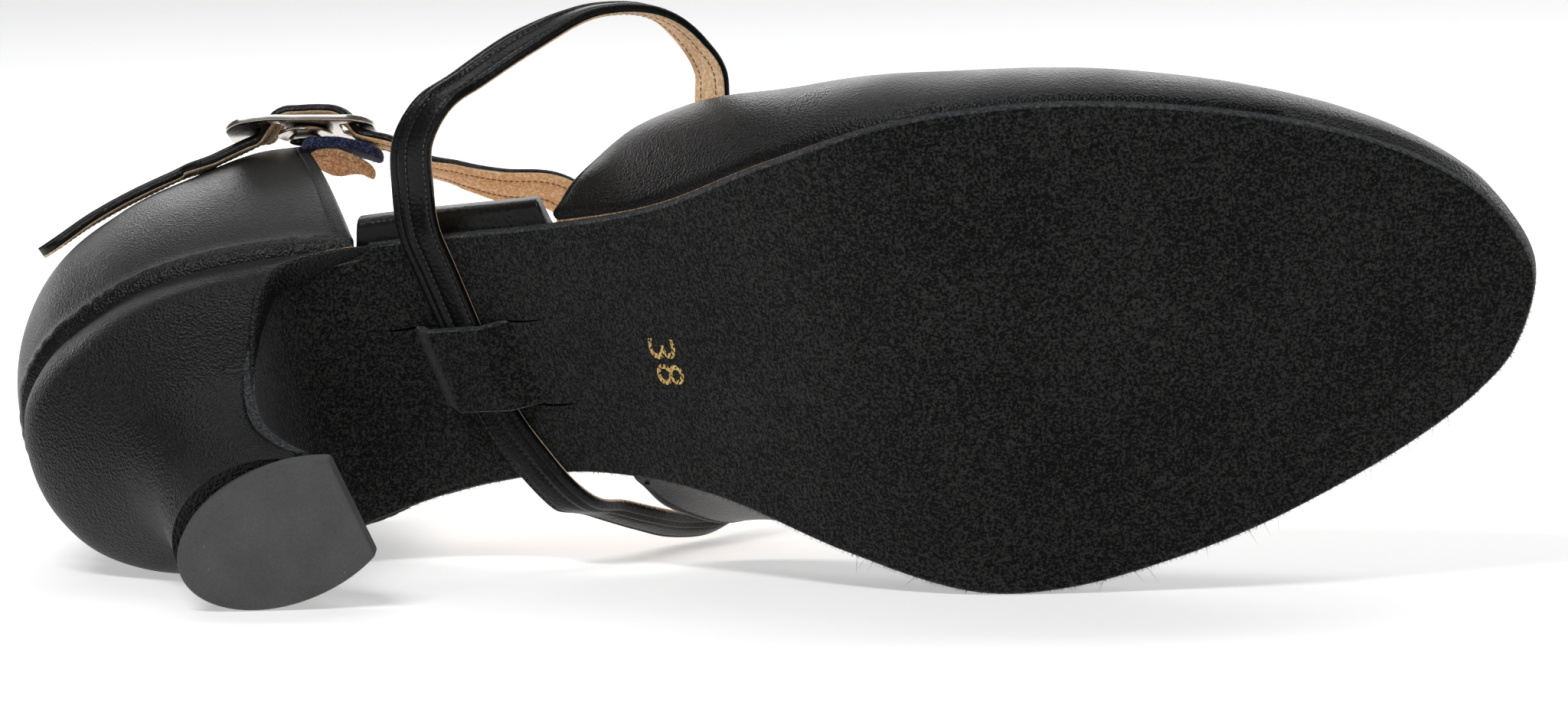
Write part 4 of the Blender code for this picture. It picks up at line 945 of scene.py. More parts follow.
for x in insole_places:
    sides = []
    for edge, (inset, overhang, front, back_at) in zip(half_widths(x), insole_sides):
        covered = np.interp(x, inset[:, 0], inset[:, 1])
        clear = min(x - front * SOLE_LENGTH - CLEARANCE, back_at * SOLE_LENGTH - x - VAMP_BACK_GAP)
        opening = float(smoothstep(clear, 0.0, INSOLE_STEP))
        sides.append(covered * (1 - opening) + (edge + overhang) * opening)
    lateral, medial = sides
    base = float(underside(x)) + SOLE_THICKNESS + CLEARANCE
    corner = INSOLE_CORNER * min(1.0, (medial - lateral) / (2 * INSOLE_THICKNESS))
    straight = INSOLE_THICKNESS - 2 * INSOLE_CORNER
    wraps = []
    for a in side_angles:
        rise = INSOLE_CORNER * (1 + math.sin(a)) + (straight if a > 0 else 0.0)
        wraps.append((corner * (1 - math.cos(a)), base + rise))
    ring = [(x, medial - drawn, z) for drawn, z in wraps]
    for t in np.linspace(0.04, 0.96, 14):
        hollow = SOCK_HOLLOW * math.sin(math.pi * t)
        ring.append((x, medial + (lateral - medial) * t, base + INSOLE_THICKNESS - hollow))
    ring += [(x, lateral + drawn, z) for drawn, z in reversed(wraps)]
    insole_rings.append(np.array(ring))
insole_bands = [0] * 8 + [1] * 15 + [0] * 9
insole = skin("wrapped_insole", insole_rings, [wrap_leather, lining_leather], insole_bands)
settle(insole, "insole")

# Vamp: the closed front of the upper, cut from smooth black leather in one piece and pulled over the
# last. Its top edge is folded in over the tan lining and held by one row of black thread.
VAMP_HEIGHT = 0.0420
VAMP_LEAN = (0.0, 0.40, 0.45, 0.72)
STITCH_IN = 0.0014
STITCH_PITCH = 0.00105
STITCH_LENGTH = 0.00082
THREAD_THICKNESS = 0.00034
THREAD_PROUD = 0.00003
VAMP_STATIONS = 260
GROOVE_WIDTH = 0.00032
VAMP_GROOVE = 0.00022
VAMP_FOLD = 0.00012
VAMP_TUCK = 0.00055
VAMP_ROWS = [
    (0.00, 0.391, -0.700, 0.06, 0.024),
    (0.02, 0.404, -0.780, 0.17, 0.071),
    (0.04, 0.420, -0.815, 0.40, 0.119),
    (0.06, 0.440, -0.870, 0.56, 0.167),
    (0.09, 0.484, -0.925, 0.72, 0.190),
    (0.15, 0.564, -0.850, 0.89, 0.167),
    (0.22, 0.632, -0.740, 0.96, 0.119),
    (0.30, 0.688, -0.516, 0.99, 0.129),
    (0.40, 0.720, -0.227, 1.00, 0.129),
    (0.50, 0.728, 0.025, 1.00, 0.100),
    (0.60, 0.722, 0.252, 1.00, 0.076),
    (0.70, 0.692, 0.540, 0.99, 0.067),
    (0.78, 0.632, 0.740, 0.96, 0.062),
    (0.85, 0.564, 0.820, 0.89, 0.071),
    (0.91, 0.488, 0.840, 0.70, 0.086),
    (0.94, 0.448, 0.830, 0.48, 0.081),
    (0.96, 0.430, 0.750, 0.33, 0.071),
    (0.98, 0.416, 0.645, 0.17, 0.043),
    (1.00, 0.406, 0.516, 0.06, 0.019),
]
TOP_ROWS = 0.001 * np.array([0.0, 0.25, 0.55, 0.85, 1.1, 1.3, 1.5, 1.7, 1.95, 2.4, 3.1, 4.2, 5.6])
upper_leather = grained_leather("upper_leather", 0.00042, 0.00016, 0.32)


def upper_faces(rows, lean, points, normals, height, shaped):
    """Outer and inner face of an upper, station by station, each from its top edge down to the sole."""
    rows = np.array(rows)
    read = smooth_table(rows[:, 0], rows[:, 1:], np.linspace(0.0, 1.0, len(points)))
    foot = points + normals * UPPER_OVERHANG
    t = np.linspace(1.0, 0.0, 90)[:, None]
    outer = []
    for k, (x_share, y_share, rise, swell) in enumerate(read):
        start = np.array([*foot[k], float(underside(points[k, 0])) + SOLE_THICKNESS + CLEARANCE])
        end_x = x_share * SOLE_LENGTH
        end_z = float(underside(end_x)) + SOLE_THICKNESS + rise * height
        end = np.array([end_x, y_share * BALL_WIDTH / 2, end_z])
        out = np.array([*normals[k], 0.0]) * swell * height
        across = np.array([*(end - start)[:2], 0.0])
        up = np.array([0.0, 0.0, (end - start)[2]])
        first = start + across * lean[0] + up * lean[1] + out
        second = start + across * lean[2] + up * lean[3] + out
        curve = (1 - t) ** 3 * start + 3 * (1 - t) ** 2 * t * first + 3 * (1 - t) * t**2 * second + t**3 * end
        length = lengths_along(curve)
        top = TOP_ROWS * min(1.0, length[-1] / 0.0090)
        at = np.concatenate([top, np.linspace(top[-1], length[-1], 30)[1:]])
        outer.append(np.column_stack([np.interp(at, length, curve[:, i]) for i in range(3)]))
    outer = np.array(outer)
    along = np.gradient(outer, axis=0)
    down = np.gradient(outer, axis=1)
    facing = unit(np.cross(along, down))
    middle = np.array([*outer[:, :, :2].reshape(-1, 2).mean(axis=0), 0.0])
    if np.sum(facing[:, -1, :2] * (outer[:, -1, :2] - middle[:2])) < 0:
        facing = -facing
    inner = outer - facing * UPPER_WALL
    inner[:, -1, :2] = outer[:, -1, :2] - normals * UPPER_WALL
    inner[:, -1, 2] = outer[:, -1, 2]
    return outer + facing * shaped(outer)[:, :, None], inner, facing


def from_top(outer):
    """Distance of each point of an upper from its top edge."""
    steps = np.linalg.norm(np.diff(outer, axis=1), axis=2)
    return np.concatenate([np.zeros((len(outer), 1)), np.cumsum(steps, axis=1)], axis=1)


def bell(value, middle, width):
    """A soft bump of height one about a middle."""
    return np.exp(-(((value - middle) / width) ** 2))


def upper_sleeve(name, outer, inner, finishes):
    """A wall of leather and lining with its top edge and both ends rounded over."""
    rim_angles = np.linspace(0.0, math.pi, 8)[1:-1]
    rings = []
    for out_line, in_line in zip(outer, inner):
        middle = (out_line[0] + in_line[0]) / 2
        half = (out_line[0] - in_line[0]) / 2
        rise = unit(out_line[0] - out_line[1]) * np.linalg.norm(half)
        rim = [middle - half * math.cos(a) + rise * math.sin(a) for a in rim_angles]
        rings.append(np.vstack([out_line[::-1], np.array(rim)[::-1], in_line]))
    rings = np.array(rings)
    for end, beyond in ((0, rings[0] - rings[1]), (-1, rings[-1] - rings[-2])):
        middle = (rings[end] + rings[end][::-1]) / 2
        half = rings[end] - middle
        reach = unit(beyond) * np.linalg.norm(half, axis=1)[:, None]
        angles = np.linspace(0, math.pi / 2, 6)[1:]
        extra = [middle + half * math.cos(a) + reach * math.sin(a) for a in angles]
        rings = np.vstack([extra[::-1], rings]) if end == 0 else np.vstack([rings, extra])
    outer_count, rim_count = outer.shape[1], len(rim_angles)
    bands = [0] * (outer_count + rim_count) + [1] * (inner.shape[1])
    bands[outer_count + rim_count] = 0
    return skin(name, list(rings), finishes, bands, capped=False)


def upper(name, rows, lean, ends, count, by_toe, height, shaped, stands_for):
    """One part of the upper, with its outer face and the way that faces."""
    points, normals = edge_stretch(ends[0] * SOLE_LENGTH, ends[1] * SOLE_LENGTH, count, by_toe)
    outer, inner, facing = upper_faces(rows, lean, points, normals, height, shaped)
    settle(upper_sleeve(name, outer, inner, [upper_leather, lining_leather]), stands_for)
    return outer, facing


def stitch_tree():
    """Short rounded stitches laid end to end along a line."""
    tree, given = start_tree("stitch_row", "Line", ("Pitch", "Stitch length", "Thread thickness"))
    line = add_node(tree, "GeometryNodeMeshToCurve", {"Mesh": given["Line"]}).outputs[0]
    spacing = {"Curve": line, "Length": given["Pitch"]}
    paced = add_node(tree, "GeometryNodeResampleCurve", spacing, mode="LENGTH")
    bead = add_node(tree, "GeometryNodeMeshUVSphere", {"Segments": 6, "Rings": 5, "Radius": 0.5})
    tangent = add_node(tree, "GeometryNodeInputTangent").outputs[0]
    turned = add_node(tree, "FunctionNodeAlignRotationToVector", {"Vector": tangent}, axis="X")
    thick = given["Thread thickness"]
    size = add_node(tree, "ShaderNodeCombineXYZ", {0: given["Stitch length"], 1: thick, 2: thick})
    copied = {"Points": paced.outputs[0], "Instance": bead.outputs["Mesh"]}
    copied.update({"Rotation": turned.outputs[0], "Scale": size.outputs[0]})
    return end_tree(tree, add_node(tree, "GeometryNodeInstanceOnPoints", copied), given["Finish"])


STITCH_ROW = stitch_tree()
black_thread, _, thread_shader = blank_finish("black_thread", 0.38, tone=(0.010, 0.011, 0.015))
thread_shader.inputs["Sheen Weight"].default_value = 0.15


def stitches(name, lines, finish):
    """Rows of stitches along lines of the shoe's own axes, as one piece."""
    mesh = bpy.data.meshes.new(name)
    verts, edges = [], []
    for line in lines:
        first = len(verts)
        verts += [tuple(p) for p in laid_down(line)]
        edges += [(first + i, first + i + 1) for i in range(len(line) - 1)]
    mesh.from_pydata(verts, edges, [])
    base = bpy.data.objects.new(name + "_lines", mesh)
    bpy.context.scene.collection.objects.link(base)
    values = {"Pitch": STITCH_PITCH, "Stitch length": STITCH_LENGTH, "Thread thickness": THREAD_THICKNESS}
    settle(grown(name, base, STITCH_ROW, {**values, "Finish": finish}))


def vamp_shape(outer):
    """The stitched groove, the padded fold above it and the tuck into the seam with the sole."""
    down = from_top(outer)
    up = down[:, -1:] - down
    short = np.clip(down[:, -1:] / 0.012, 0.0, 1.0)
    groove = -VAMP_GROOVE * bell(down, STITCH_IN, GROOVE_WIDTH) * short
    fold = VAMP_FOLD * bell(down, 0.0006, 0.0005) * short
    tuck = -VAMP_TUCK * (1 - smoothstep(up, 0.0, 0.0016))
    return groove + fold + tuck


vamp_ends = VAMP_BACK_LATERAL, VAMP_BACK_MEDIAL
vamp_form = VAMP_ROWS, VAMP_LEAN, vamp_ends, VAMP_STATIONS, True, VAMP_HEIGHT, vamp_shape
vamp_outer, vamp_facing = upper("leather_vamp", *vamp_form, "vamp")
stitch_row = int(np.argmin(np.abs(TOP_ROWS - STITCH_IN)))
topline = vamp_outer[6:-6, stitch_row] + vamp_facing[6:-6, stitch_row] * THREAD_PROUD
stitches("vamp_stitches", [topline], black_thread)

# Counter: the closed back of the upper, of the same leather over a stiffener and the tan lining. It is
# stitched along its front and top edges, and swells out in a soft roll where it is pulled over the seat.
COUNTER_HEIGHT = 0.0560
COUNTER_LEAN = (0.33, 0.33, 0.67, 0.67)
ROLL_ABOVE_SEAT = 0.0026
ROLL_RISE = 0.00095
FRONT_STITCH_IN = 0.0020
COUNTER_STATIONS = 420
COUNTER_GROOVE = 0.00020
COUNTER_TUCK = 0.00075
WRINKLE_RISE = 0.00007
COUNTER_ROWS = [
    (0.00, 0.184, -0.756, 0.990, 0.080),
    (0.10, 0.150, -0.766, 0.985, 0.089),
    (0.20, 0.108, -0.725, 0.957, 0.093),
    (0.30, 0.062, -0.653, 0.930, 0.104),
    (0.40, 0.016, -0.474, 0.908, 0.114),
    (0.50, -0.010, -0.025, 0.893, 0.114),
    (0.60, 0.018, 0.416, 0.902, 0.100),
    (0.70, 0.064, 0.617, 0.920, 0.096),
    (0.80, 0.112, 0.693, 0.943, 0.093),
    (0.90, 0.156, 0.730, 0.973, 0.089),
    (1.00, 0.192, 0.743, 0.990, 0.080),
]


def counter_shape(outer):
    """The roll over the seat with its fine wrinkles, the stitched grooves and the tuck at the foot."""
    down = from_top(outer)
    up = down[:, -1:] - down
    along = lengths_along(outer[:, -1])
    from_end = np.minimum(along, along[-1] - along)[:, None]
    groove = -COUNTER_GROOVE * bell(down, STITCH_IN, GROOVE_WIDTH)
    front = -COUNTER_GROOVE * bell(from_end, FRONT_STITCH_IN, 0.00035) * smoothstep(down, 0.001, 0.002)
    roll = ROLL_RISE * bell(up, ROLL_ABOVE_SEAT, 0.0017) * smoothstep(from_end, 0.001, 0.010)
    tuck = -COUNTER_TUCK * (1 - smoothstep(up, 0.0, 0.0018))
    wave = np.sin(along[:, None] * 1900 + 2.2 * np.sin(along[:, None] * 430) + up * 900)
    wrinkle = WRINKLE_RISE * wave * bell(up, ROLL_ABOVE_SEAT, 0.0020)
    return groove + front + roll + tuck + wrinkle


counter_ends = COUNTER_FRONT_LATERAL, COUNTER_FRONT_MEDIAL
counter_form = COUNTER_ROWS, COUNTER_LEAN, counter_ends, COUNTER_STATIONS, False, COUNTER_HEIGHT, counter_shape
counter_outer, _ = upper("leather_counter", *counter_form, "counter")
counter_foot = lengths_along(counter_outer[:, -1])
front_station = int(np.argmin(np.abs(counter_foot - FRONT_STITCH_IN)))
back_station = int(np.argmin(np.abs(counter_foot - (counter_foot[-1] - FRONT_STITCH_IN))))
counter_lines = [counter_outer[front_station:back_station, stitch_row]]
counter_lines += [counter_outer[station, stitch_row:] for station in (front_station, back_station)]
stitches("counter_stitches", counter_lines, black_thread)

# Straps: two narrow straps of black leather on tan suede, sewn together along both edges, with a fine
# cord under the leather that stands up as a bead. The first holds the arch from the sole loop into the vamp.
ARCH_ROWS = [
    (0.298, -0.860, -0.095, -0.35, -0.20, -0.92),
    (0.306, -1.070, -0.075, -0.35, -0.50, -0.79),
    (0.323, -1.190, -0.01, -0.45, -0.65, -0.61),
    (0.346, -1.240, 0.12, -0.45, -0.76, -0.47),
    (0.389, -1.335, 0.31, -0.30, -0.88, -0.36),
    (0.436, -1.370, 0.55, -0.05, -1.00, 0.08),
    (0.477, -1.270, 0.74, 0.35, -0.88, 0.33),
    (0.494, -1.110, 0.80, 0.62, -0.50, 0.60),
    (0.500, -1.000, 0.79, 0.68, -0.10, 0.72),
    (0.498, -0.890, 0.75, 0.66, 0.10, 0.74),
    (0.500, -0.620, 0.70, 0.45, 0.05, 0.89),
    (0.512, -0.200, 0.74, 0.30, 0.00, 0.95),
    (0.528, 0.250, 0.76, 0.25, 0.10, 0.96),
    (0.545, 0.585, 0.69, 0.20, 0.45, 0.87),
    (0.555, 0.725, 0.55, 0.10, 0.85, 0.50),
    (0.558, 0.760, 0.40, 0.05, 0.98, 0.15),
]
UNDER_ARCH = ((-0.094, 0.0), (-0.376, 0.0), (-0.657, 0.0), (-0.939, 0.0), (-1.221, 0.0))
TIP_REACH = 0.6 * STRAP_WIDTH
LEATHER_PROFILE = [
    (-3.72, -0.52), (-3.80, -0.30), (-3.79, 0.20), (-3.66, 0.55), (-3.40, 0.78), (-3.15, 0.80), (-2.95, 0.62),
    (-2.75, 0.78), (-2.45, 0.92), (-1.60, 0.96), (-0.70, 0.96), (0.05, 0.92), (0.32, 0.74), (0.50, 0.62),
    (0.70, 0.80), (1.00, 1.08), (1.40, 1.20), (1.80, 1.08), (2.10, 0.76), (2.28, 0.60), (2.46, 0.74),
    (2.75, 0.86), (3.15, 0.82), (3.50, 0.60), (3.78, 0.22), (3.80, -0.30), (3.72, -0.52),
]
LINING_PROFILE = [
    (3.66, -0.50), (3.72, -0.62), (3.62, -0.84), (3.30, -0.93), (2.10, -0.95), (1.92, -0.84), (1.74, -0.95),
    (0.0, -0.97), (-1.74, -0.95), (-1.92, -0.84), (-2.10, -0.95), (-3.30, -0.93), (-3.62, -0.84),
    (-3.72, -0.62), (-3.66, -0.50),
]
OUTER_STITCHES = ((-0.00295, 0.00072), (0.00050, 0.00070))
INNER_STITCHES = ((-0.00192, -0.00090), (0.00192, -0.00090))
strap_leather = grained_leather("strap_leather", 0.00060, 0.00010, 0.36)
# The strap lining's tan is painted much paler than the suede's own colour: painted light on the strap's
# underside, which the lamps leave in shade.
strap_lining = suede("strap_lining", (0.74, 0.50, 0.30), (0.98, 0.80, 0.56), 0.0005, 0.00025, 0.2)
brown_thread = blank_finish("brown_thread", 0.55, tone=(0.20, 0.10, 0.045))[0]


def strap_places(rows):
    """Places of a strap's rows, and the ways its grain side faces there."""
    rows = np.array(rows)
    x = rows[:, 0] * SOLE_LENGTH
    y = rows[:, 1] * BALL_WIDTH / 2
    z = underside(x) + SOLE_THICKNESS + rows[:, 2] * COUNTER_HEIGHT
    return np.column_stack([x, y, z]), unit(rows[:, 3:])


def under_sole(side, veer):
    """Middle of the strap where it lies against the underside, and the way it faces there."""
    y = side * WAIST_WIDTH / 2
    x = strap_x_at(y) + veer * WAIST_WIDTH / 2
    facing = underside_normal(x)
    foot = np.array([x, y, float(underside(x))])
    return foot + facing * (CLEARANCE + STRAP_THICKNESS / 2), facing


def strap_route(under, rows):
    """Places and facings of a strap, first those under the sole."""
    starts = [under_sole(side, veer) for side, veer in under]
    places, facings = strap_places(rows)
    return np.vstack([[p for p, _ in starts], places]), np.vstack([[f for _, f in starts], facings])


def strap_frames(places, facings, step=0.0008):
    """A fine route through a strap's places, with the way across it and the way its grain faces."""
    keys = lengths_along(places)
    at = np.linspace(0.0, keys[-1], int(keys[-1] / step) + 1)
    line = smooth_table(keys, places, at)
    face = smooth_table(keys, facings, at)
    tangent = unit(np.gradient(line, axis=0))
    face = unit(face - tangent * np.sum(face * tangent, axis=1, keepdims=True))
    return line, np.cross(face, tangent), face


def strap_layer(name, frames, profile, finish, tip_at_end, stands_for=None):
    """One layer of a strap, drawn along its route and narrowed to a round tip at a free end."""
    line, side, face = frames
    profile = np.array(profile) * 0.001
    left_over = lengths_along(line)[-1] - lengths_along(line)
    rings = []
    for p, s, f, left in zip(line, side, face, left_over):
        narrow = 1.0
        if tip_at_end and left < TIP_REACH:
            narrow = math.sqrt(max(0.0004, 1 - (1 - left / TIP_REACH) ** 2))
        rings.append(p + s * (profile[:, :1] * narrow) + f * profile[:, 1:])
    settle(skin(name, rings, [finish]), stands_for)


def dressed_strap(label, places, facings, tip_at_end):
    """A strap's leather, its lining and the rows of stitches that show on each."""
    frames = strap_frames(places, facings)
    leather, lining, solid = label + "_strap_leather", label + "_strap_lining", label + "_strap"
    strap_layer(leather, frames, LEATHER_PROFILE, strap_leather, tip_at_end, solid)
    strap_layer(lining, frames, LINING_PROFILE, strap_lining, tip_at_end)
    line, side, face = (way[1 : len(way) - (4 if tip_at_end else 1)] for way in frames)
    for name, rows, thread, slot_name in (
        ("_strap_stitches", OUTER_STITCHES, black_thread, "strap_leather"),
        ("_lining_stitches", INNER_STITCHES, brown_thread, "tan_suede"),
    ):
        stitches(label + name, [line + side * a + face * b for a, b in rows], thread)


dressed_strap("arch", *strap_route(UNDER_ARCH, ARCH_ROWS), False)

# The second strap holds the ankle: from the sole loop round the medial side and over the instep, then
# through the buckle on the lateral side to its free tip.
ANKLE_ROWS = [
    (0.355, 0.545, -0.055, -0.38, 0.35, -0.86),
    (0.374, 0.680, 0.14, -0.25, 0.62, -0.74),
    (0.396, 0.812, 0.32, -0.05, 0.76, -0.65),
    (0.414, 0.930, 0.52, 0.15, 0.80, -0.58),
    (0.437, 1.000, 0.72, 0.35, 0.88, -0.33),
    (0.460, 0.960, 0.98, 0.55, 0.82, 0.15),
    (0.462, 0.760, 1.18, 0.52, 0.62, 0.58),
    (0.445, 0.450, 1.26, 0.38, 0.25, 0.89),
    (0.415, 0.080, 1.21, 0.15, -0.10, 0.98),
    (0.385, -0.220, 1.07, -0.05, -0.35, 0.94),
    (0.358, -0.430, 0.95, -0.12, -0.48, 0.87),
    (0.326, -0.490, 0.87, -0.13, -0.52, 0.84),
    (0.296, -0.555, 0.87, -0.10, -0.60, 0.79),
    (0.264, -0.630, 0.92, -0.02, -0.72, 0.69),
]
UNDER_ANKLE = ((-0.070, 0.0), (0.188, 0.0), (0.423, 0.042), (0.657, 0.122))
TAIL_ROWS = [
    (0.104, -0.762, 0.935, 0.02, -0.92, 0.26),
    (0.086, -0.742, 0.910, -0.10, -0.92, 0.24),
    (0.068, -0.720, 0.885, -0.22, -0.92, 0.22),
    (0.050, -0.694, 0.855, -0.30, -0.91, 0.20),
    (0.032, -0.663, 0.820, -0.36, -0.90, 0.16),
    (0.015, -0.624, 0.790, -0.40, -0.89, 0.10),
    (-0.003, -0.583, 0.755, -0.44, -0.88, 0.04),
]
BUCKLE_AT = (0.187, -0.838, 0.962)
BUCKLE_ALONG = (-0.985, -0.145, 0.0)
BUCKLE_FACES = (0.14, -0.875, 0.50)
PLATE_LENGTH = 0.0250
PLATE_WIDTH = 0.0135
PLATE_THICKNESS = 0.0011
THROUGH_ROWS = [
    (-0.64, -1.75), (-0.52, -1.30), (-0.43, -0.85), (-0.39, -0.05), (-0.345, 0.85), (-0.28, 1.42),
    (-0.19, 1.62), (-0.02, 1.66), (0.09, 1.60), (0.15, 1.15), (0.19, 0.30), (0.225, -0.35),
    (0.28, -0.75), (0.37, -1.27), (0.46, -1.80), (0.55, -2.33), (0.64, -2.86),
]
buckle_x = BUCKLE_AT[0] * SOLE_LENGTH
buckle_z = float(underside(buckle_x)) + SOLE_THICKNESS + BUCKLE_AT[2] * COUNTER_HEIGHT
buckle_middle = np.array([buckle_x, BUCKLE_AT[1] * BALL_WIDTH / 2, buckle_z])
buckle_along = unit(BUCKLE_ALONG)
buckle_face = np.array(BUCKLE_FACES)
buckle_face = unit(buckle_face - buckle_along * np.dot(buckle_face, buckle_along))
buckle_across = np.cross(buckle_face, buckle_along)

ankle_places, ankle_facings = strap_route(UNDER_ANKLE, ANKLE_ROWS)
tail_places, tail_facings = strap_places(TAIL_ROWS)
through_lift = PLATE_THICKNESS / 2 + CLEARANCE + STRAP_THICKNESS / 2
through = [
    buckle_middle + buckle_along * run * PLATE_LENGTH + buckle_face * lift * through_lift
    for run, lift in THROUGH_ROWS
]
through_faces = [buckle_face if run < 0.25 else unit(TAIL_ROWS[0][3:]) for run, _ in THROUGH_ROWS]
ankle_places = np.vstack([ankle_places, through, tail_places])
dressed_strap("ankle", ankle_places, np.vstack([ankle_facings, through_faces, tail_facings]), True)

# Buckle: a bowed plate of satin nickel with two slots that the strap is woven through. A press stud hangs
# from its underside and snaps it to a tab of navy suede, so that it opens with one pull.
SLOT_LENGTH = 0.0036
SLOTS_AT = (-0.375, 0.165)
PLATE_ROUND = 0.00025
PLATE_REACH_FRONT = 0.0011
PLATE_LIFTS = (
    (-0.55, -0.0001), (-0.25, 0.0003), (0.0, 0.0006), (0.2, 0.0008), (0.35, 0.0005), (0.5, -0.0002)
)
SNAP_DIAMETER = 0.0098
SNAP_BACK_DIAMETER = 0.0068
SNAP_BACK_THICKNESS = 0.0011
PLATE_SHARP_FROM = math.radians(40.0)
nickel, nickel_tree, nickel_shader = blank_finish("satin_nickel", 0.24, 1.0, (0.62, 0.58, 0.53))
nickel_drawn = {"Vector": object_place(nickel_tree), "Scale": (0.08, 1.0, 1.0)}
nickel_grain = noise(nickel_tree, add_node(nickel_tree, "ShaderNodeMapping", nickel_drawn).outputs[0], 2500.0)
nickel_wear = mapped(nickel_tree, nickel_grain, 0.35, 0.7, 0.20, 0.28)
nickel_tree.links.new(nickel_wear, nickel_shader.inputs["Roughness"])


def rounded_box(length_back, length_front, half_width, corner, narrowing, count=160):
    """A closed outline with rounded corners, whose ends may be drawn in."""
    angles = np.linspace(0.0, math.pi / 2, 12)
    corners = []
    for sx, sy in ((1, 1), (-1, 1), (-1, -1), (1, -1)):
        reach = length_back if sx > 0 else length_front
        turn = angles if sx * sy > 0 else angles[::-1]
        for a in turn:
            x = sx * (reach - corner + corner * math.cos(a))
            y = sy * (half_width - corner + corner * math.sin(a))
            corners.append((x, y, 0.0))
    line = closed_evenly(np.array(corners), count)
    share = np.maximum(0.0, (np.abs(line[:, 0]) / PLATE_LENGTH - 0.36) / 0.14)
    line[:, 1] *= 1 - narrowing * share**2
    return line


def on_plate(point):
    """A point of the flat plate, bowed and put where the plate sits."""
    shares, lifts = zip(*PLATE_LIFTS)
    lift = float(smooth_table(shares, np.array(lifts)[:, None], point.x / PLATE_LENGTH)[0, 0]) + point.z
    return laid_down(buckle_middle + buckle_along * point.x + buckle_across * point.y + buckle_face * lift)


plate_half = PLATE_THICKNESS / 2
plate_levels = [
    (PLATE_ROUND * (1 - math.sin(a)), -plate_half + PLATE_ROUND * (1 - math.cos(a))) for a in edge_angles
]
plate_levels += [(inset, -z) for inset, z in reversed(plate_levels)]
plate_reach = PLATE_LENGTH / 2, PLATE_LENGTH / 2 + PLATE_REACH_FRONT
plate_outline = rounded_box(*plate_reach, PLATE_WIDTH / 2, 0.0030, 0.20)
slot_outline = rounded_box(SLOT_LENGTH / 2, SLOT_LENGTH / 2, STRAP_WIDTH / 2 + 2 * CLEARANCE, 0.0016, 0.0, 80)
work = bmesh.new()
plate_loops = [(plate_outline, 1)]
for slot_at in SLOTS_AT:
    plate_loops.append((slot_outline + np.array([slot_at * PLATE_LENGTH, 0.0, 0.0]), -1))
open_edges = {0: [], len(plate_levels) - 1: []}
for loop_line, way in plate_loops:
    levels = []
    for inset, z in plate_levels:
        ring = drawn_in(loop_line, way * inset)
        levels.append([work.verts.new((x, y, z)) for x, y, _ in ring])
    for low, high in zip(levels[:-1], levels[1:]):
        for j in range(len(low)):
            k = (j + 1) % len(low)
            work.faces.new((low[j], low[k], high[k], high[j]))
    for level in open_edges:
        ring = levels[level]
        open_edges[level] += [work.edges.get((ring[j - 1], ring[j])) for j in range(len(ring))]
for edges in open_edges.values():
    bmesh.ops.triangle_fill(work, edges=edges, use_beauty=True)
for cut in np.linspace(-0.46, 0.46, 24) * PLATE_LENGTH:
    everything = work.verts[:] + work.edges[:] + work.faces[:]
    bmesh.ops.bisect_plane(work, geom=everything, plane_co=(cut, 0.0, 0.0), plane_no=(1.0, 0.0, 0.0))
for v in work.verts:
    v.co = on_plate(v.co)
bmesh.ops.recalc_face_normals(work, faces=work.faces)
settle(mesh_piece("nickel_plate", work, [nickel], PLATE_SHARP_FROM), "buckle_plate")


def lathed(name, profile, middle, facing, stands_for, count=72):
    """A round metal piece turned from a profile of radii and heights."""
    run = unit(buckle_along - facing * np.dot(facing, buckle_along))
    other = np.cross(facing, run)
    around = np.linspace(0.0, 2 * math.pi, count, endpoint=False)[:, None]
    rings = [middle + (run * np.cos(around) + other * np.sin(around)) * r + facing * h for r, h in profile]
    settle(skin(name, rings, [nickel]), stands_for)


STUD_AT = -0.048
STUD_PROFILE = [
    (0.30, 0.02), (0.44, 0.02), (0.47, -0.06), (0.80, -0.10), (0.95, -0.20), (1.00, -0.34), (1.00, -0.44),
    (0.97, -0.49), (0.91, -0.45), (0.87, -0.36), (0.70, -0.28), (0.52, -0.26), (0.47, -0.32), (0.52, -0.46),
    (0.60, -0.62), (0.62, -0.78), (0.58, -0.94), (0.30, -1.00),
]
TAB_DEPTH = 0.00235
stud = SNAP_DIAMETER / 2
stud_profile = [(r * stud, h * TAB_DEPTH) for r, h in STUD_PROFILE]
stud_middle = buckle_middle + buckle_along * STUD_AT * PLATE_LENGTH
lathed("press_stud", stud_profile, stud_middle, buckle_face, "snap_cap")

# Tab: the foot of the closure, sewn inside the quarter: navy suede above, ragged tan suede below, and the
# turned-over metal back of the press stud between them.
TAB_LENGTH = 0.0150
TAB_THICKNESS = 0.0019
TAB_LINING_THICKNESS = 0.0014
TAB_SLOPE = 0.03
TAB_DROOP = 0.0019
TAB_HAIRS_A_SQUARE_METRE = 6000000.0
TAB_HAIR_LENGTH = 0.0005
BACK_AT = 0.347
BACK_TILT = 0.17
TAB_OUTLINE = [
    (0.060, -0.227), (0.160, 0.280), (0.400, 0.293), (0.733, 0.280), (0.920, 0.187), (1.000, 0.027),
    (0.920, -0.133), (0.733, -0.227), (0.400, -0.240),
]
BACK_PROFILE = [
    (0.30, -0.75), (0.36, -1.00), (0.80, -1.00), (0.93, -0.90), (1.00, -0.62), (1.00, -0.40), (0.93, -0.12),
    (0.80, 0.00), (0.20, 0.00),
]
navy_suede = suede("navy_suede", (0.010, 0.014, 0.036), (0.060, 0.085, 0.200), 0.0004, 0.0003, 0.2)
tan_edge = suede("tan_edge", (0.36, 0.21, 0.11), (0.80, 0.57, 0.36), 0.0004, 0.0003, 0.2)
navy_hair = blank_finish("navy_hair", 0.85, tone=(0.030, 0.042, 0.110))[0]
tan_hair = blank_finish("tan_hair", 0.85, tone=(0.62, 0.42, 0.24))[0]


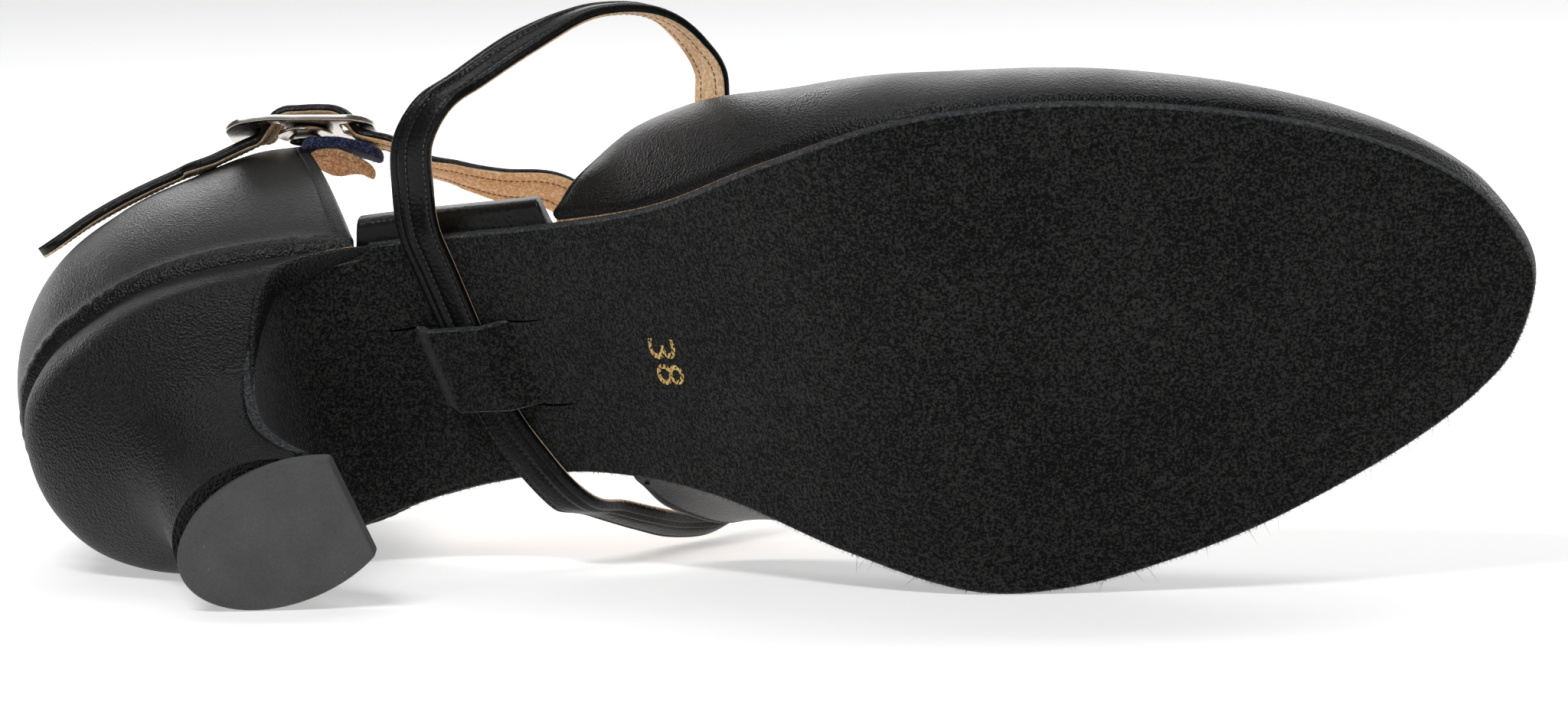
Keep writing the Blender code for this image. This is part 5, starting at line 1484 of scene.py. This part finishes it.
def tab_ply(name, depth, thickness, outline, ripple, lean, finish, slot_name, stands_for):
    """One ply of the tab: a soft slab with a round edge that droops and ripples towards its free end."""
    wrap = np.vstack([outline[-3:], outline, outline[:4]])
    keys = lengths_along(wrap)
    ring = smooth_table(keys, wrap, np.linspace(keys[3], keys[-4], 141)[:-1])
    centre = ring.mean(axis=0)
    half = thickness / 2
    shells = [(s, -half) for s in (0.04, 0.25, 0.45, 0.65, 0.82)]
    shells += [(0.94 + 0.06 * math.cos(a), half * math.sin(a)) for a in np.linspace(-1.57, 1.57, 9)]
    shells += [(s, half) for s in (0.82, 0.65, 0.45, 0.25, 0.04)]
    rings = []
    for share, above in shells:
        flat = centre + (ring - centre) * share
        f, d = flat[:, :1], flat[:, 1:]
        sag = TAB_DROOP * f**4 + ripple * np.sin(9.0 * f + 5.0 * d) * f
        sag = sag + lean * (0.28 - d) * TAB_LENGTH * smoothstep(f, 0.1, 0.5)
        level = -(depth + half) + above - sag - TAB_SLOPE * f * TAB_LENGTH
        spots = buckle_middle - buckle_along * f * TAB_LENGTH + buckle_across * d * TAB_LENGTH
        rings.append(spots + buckle_face * level)
    settle(skin(name, rings, [finish]), stands_for)
    return [np.vstack([r, r[:1]]) for r in rings[4:15]]


tab_outline = np.array(TAB_OUTLINE)
tab_rims = tab_ply(
    "tab_suede", TAB_DEPTH, TAB_THICKNESS, tab_outline, 0.00030, 0.0, navy_suede, "navy_suede", "tab"
)
back_depth = TAB_DEPTH + TAB_THICKNESS + CLEARANCE / 3
back_middle = buckle_middle - (buckle_along + buckle_face * TAB_SLOPE) * BACK_AT * TAB_LENGTH
back_middle = back_middle - buckle_face * back_depth
back_radius = SNAP_BACK_DIAMETER / 2
back_profile = [(r * back_radius, h * SNAP_BACK_THICKNESS) for r, h in BACK_PROFILE]
back_faces = unit(buckle_face - buckle_along * TAB_SLOPE - buckle_across * BACK_TILT)
lathed("stud_back", back_profile, back_middle, back_faces, "snap_back")
lining_depth = back_depth + 0.2 * SNAP_BACK_THICKNESS
lining_outline = np.column_stack([0.10 + 0.80 * tab_outline[:, 0], 0.9 * tab_outline[:, 1]])
lining_form = TAB_LINING_THICKNESS, lining_outline, 0.0009, 0.24
lining_rims = tab_ply("tab_lining_suede", lining_depth, *lining_form, tan_edge, "tan_suede", "tab_lining")
fuzz("tab_fuzz", tab_rims, TAB_HAIRS_A_SQUARE_METRE, TAB_HAIR_LENGTH, 1.0, navy_hair)
fuzz("tab_lining_fuzz", lining_rims, TAB_HAIRS_A_SQUARE_METRE, TAB_HAIR_LENGTH, 1.0, tan_hair)
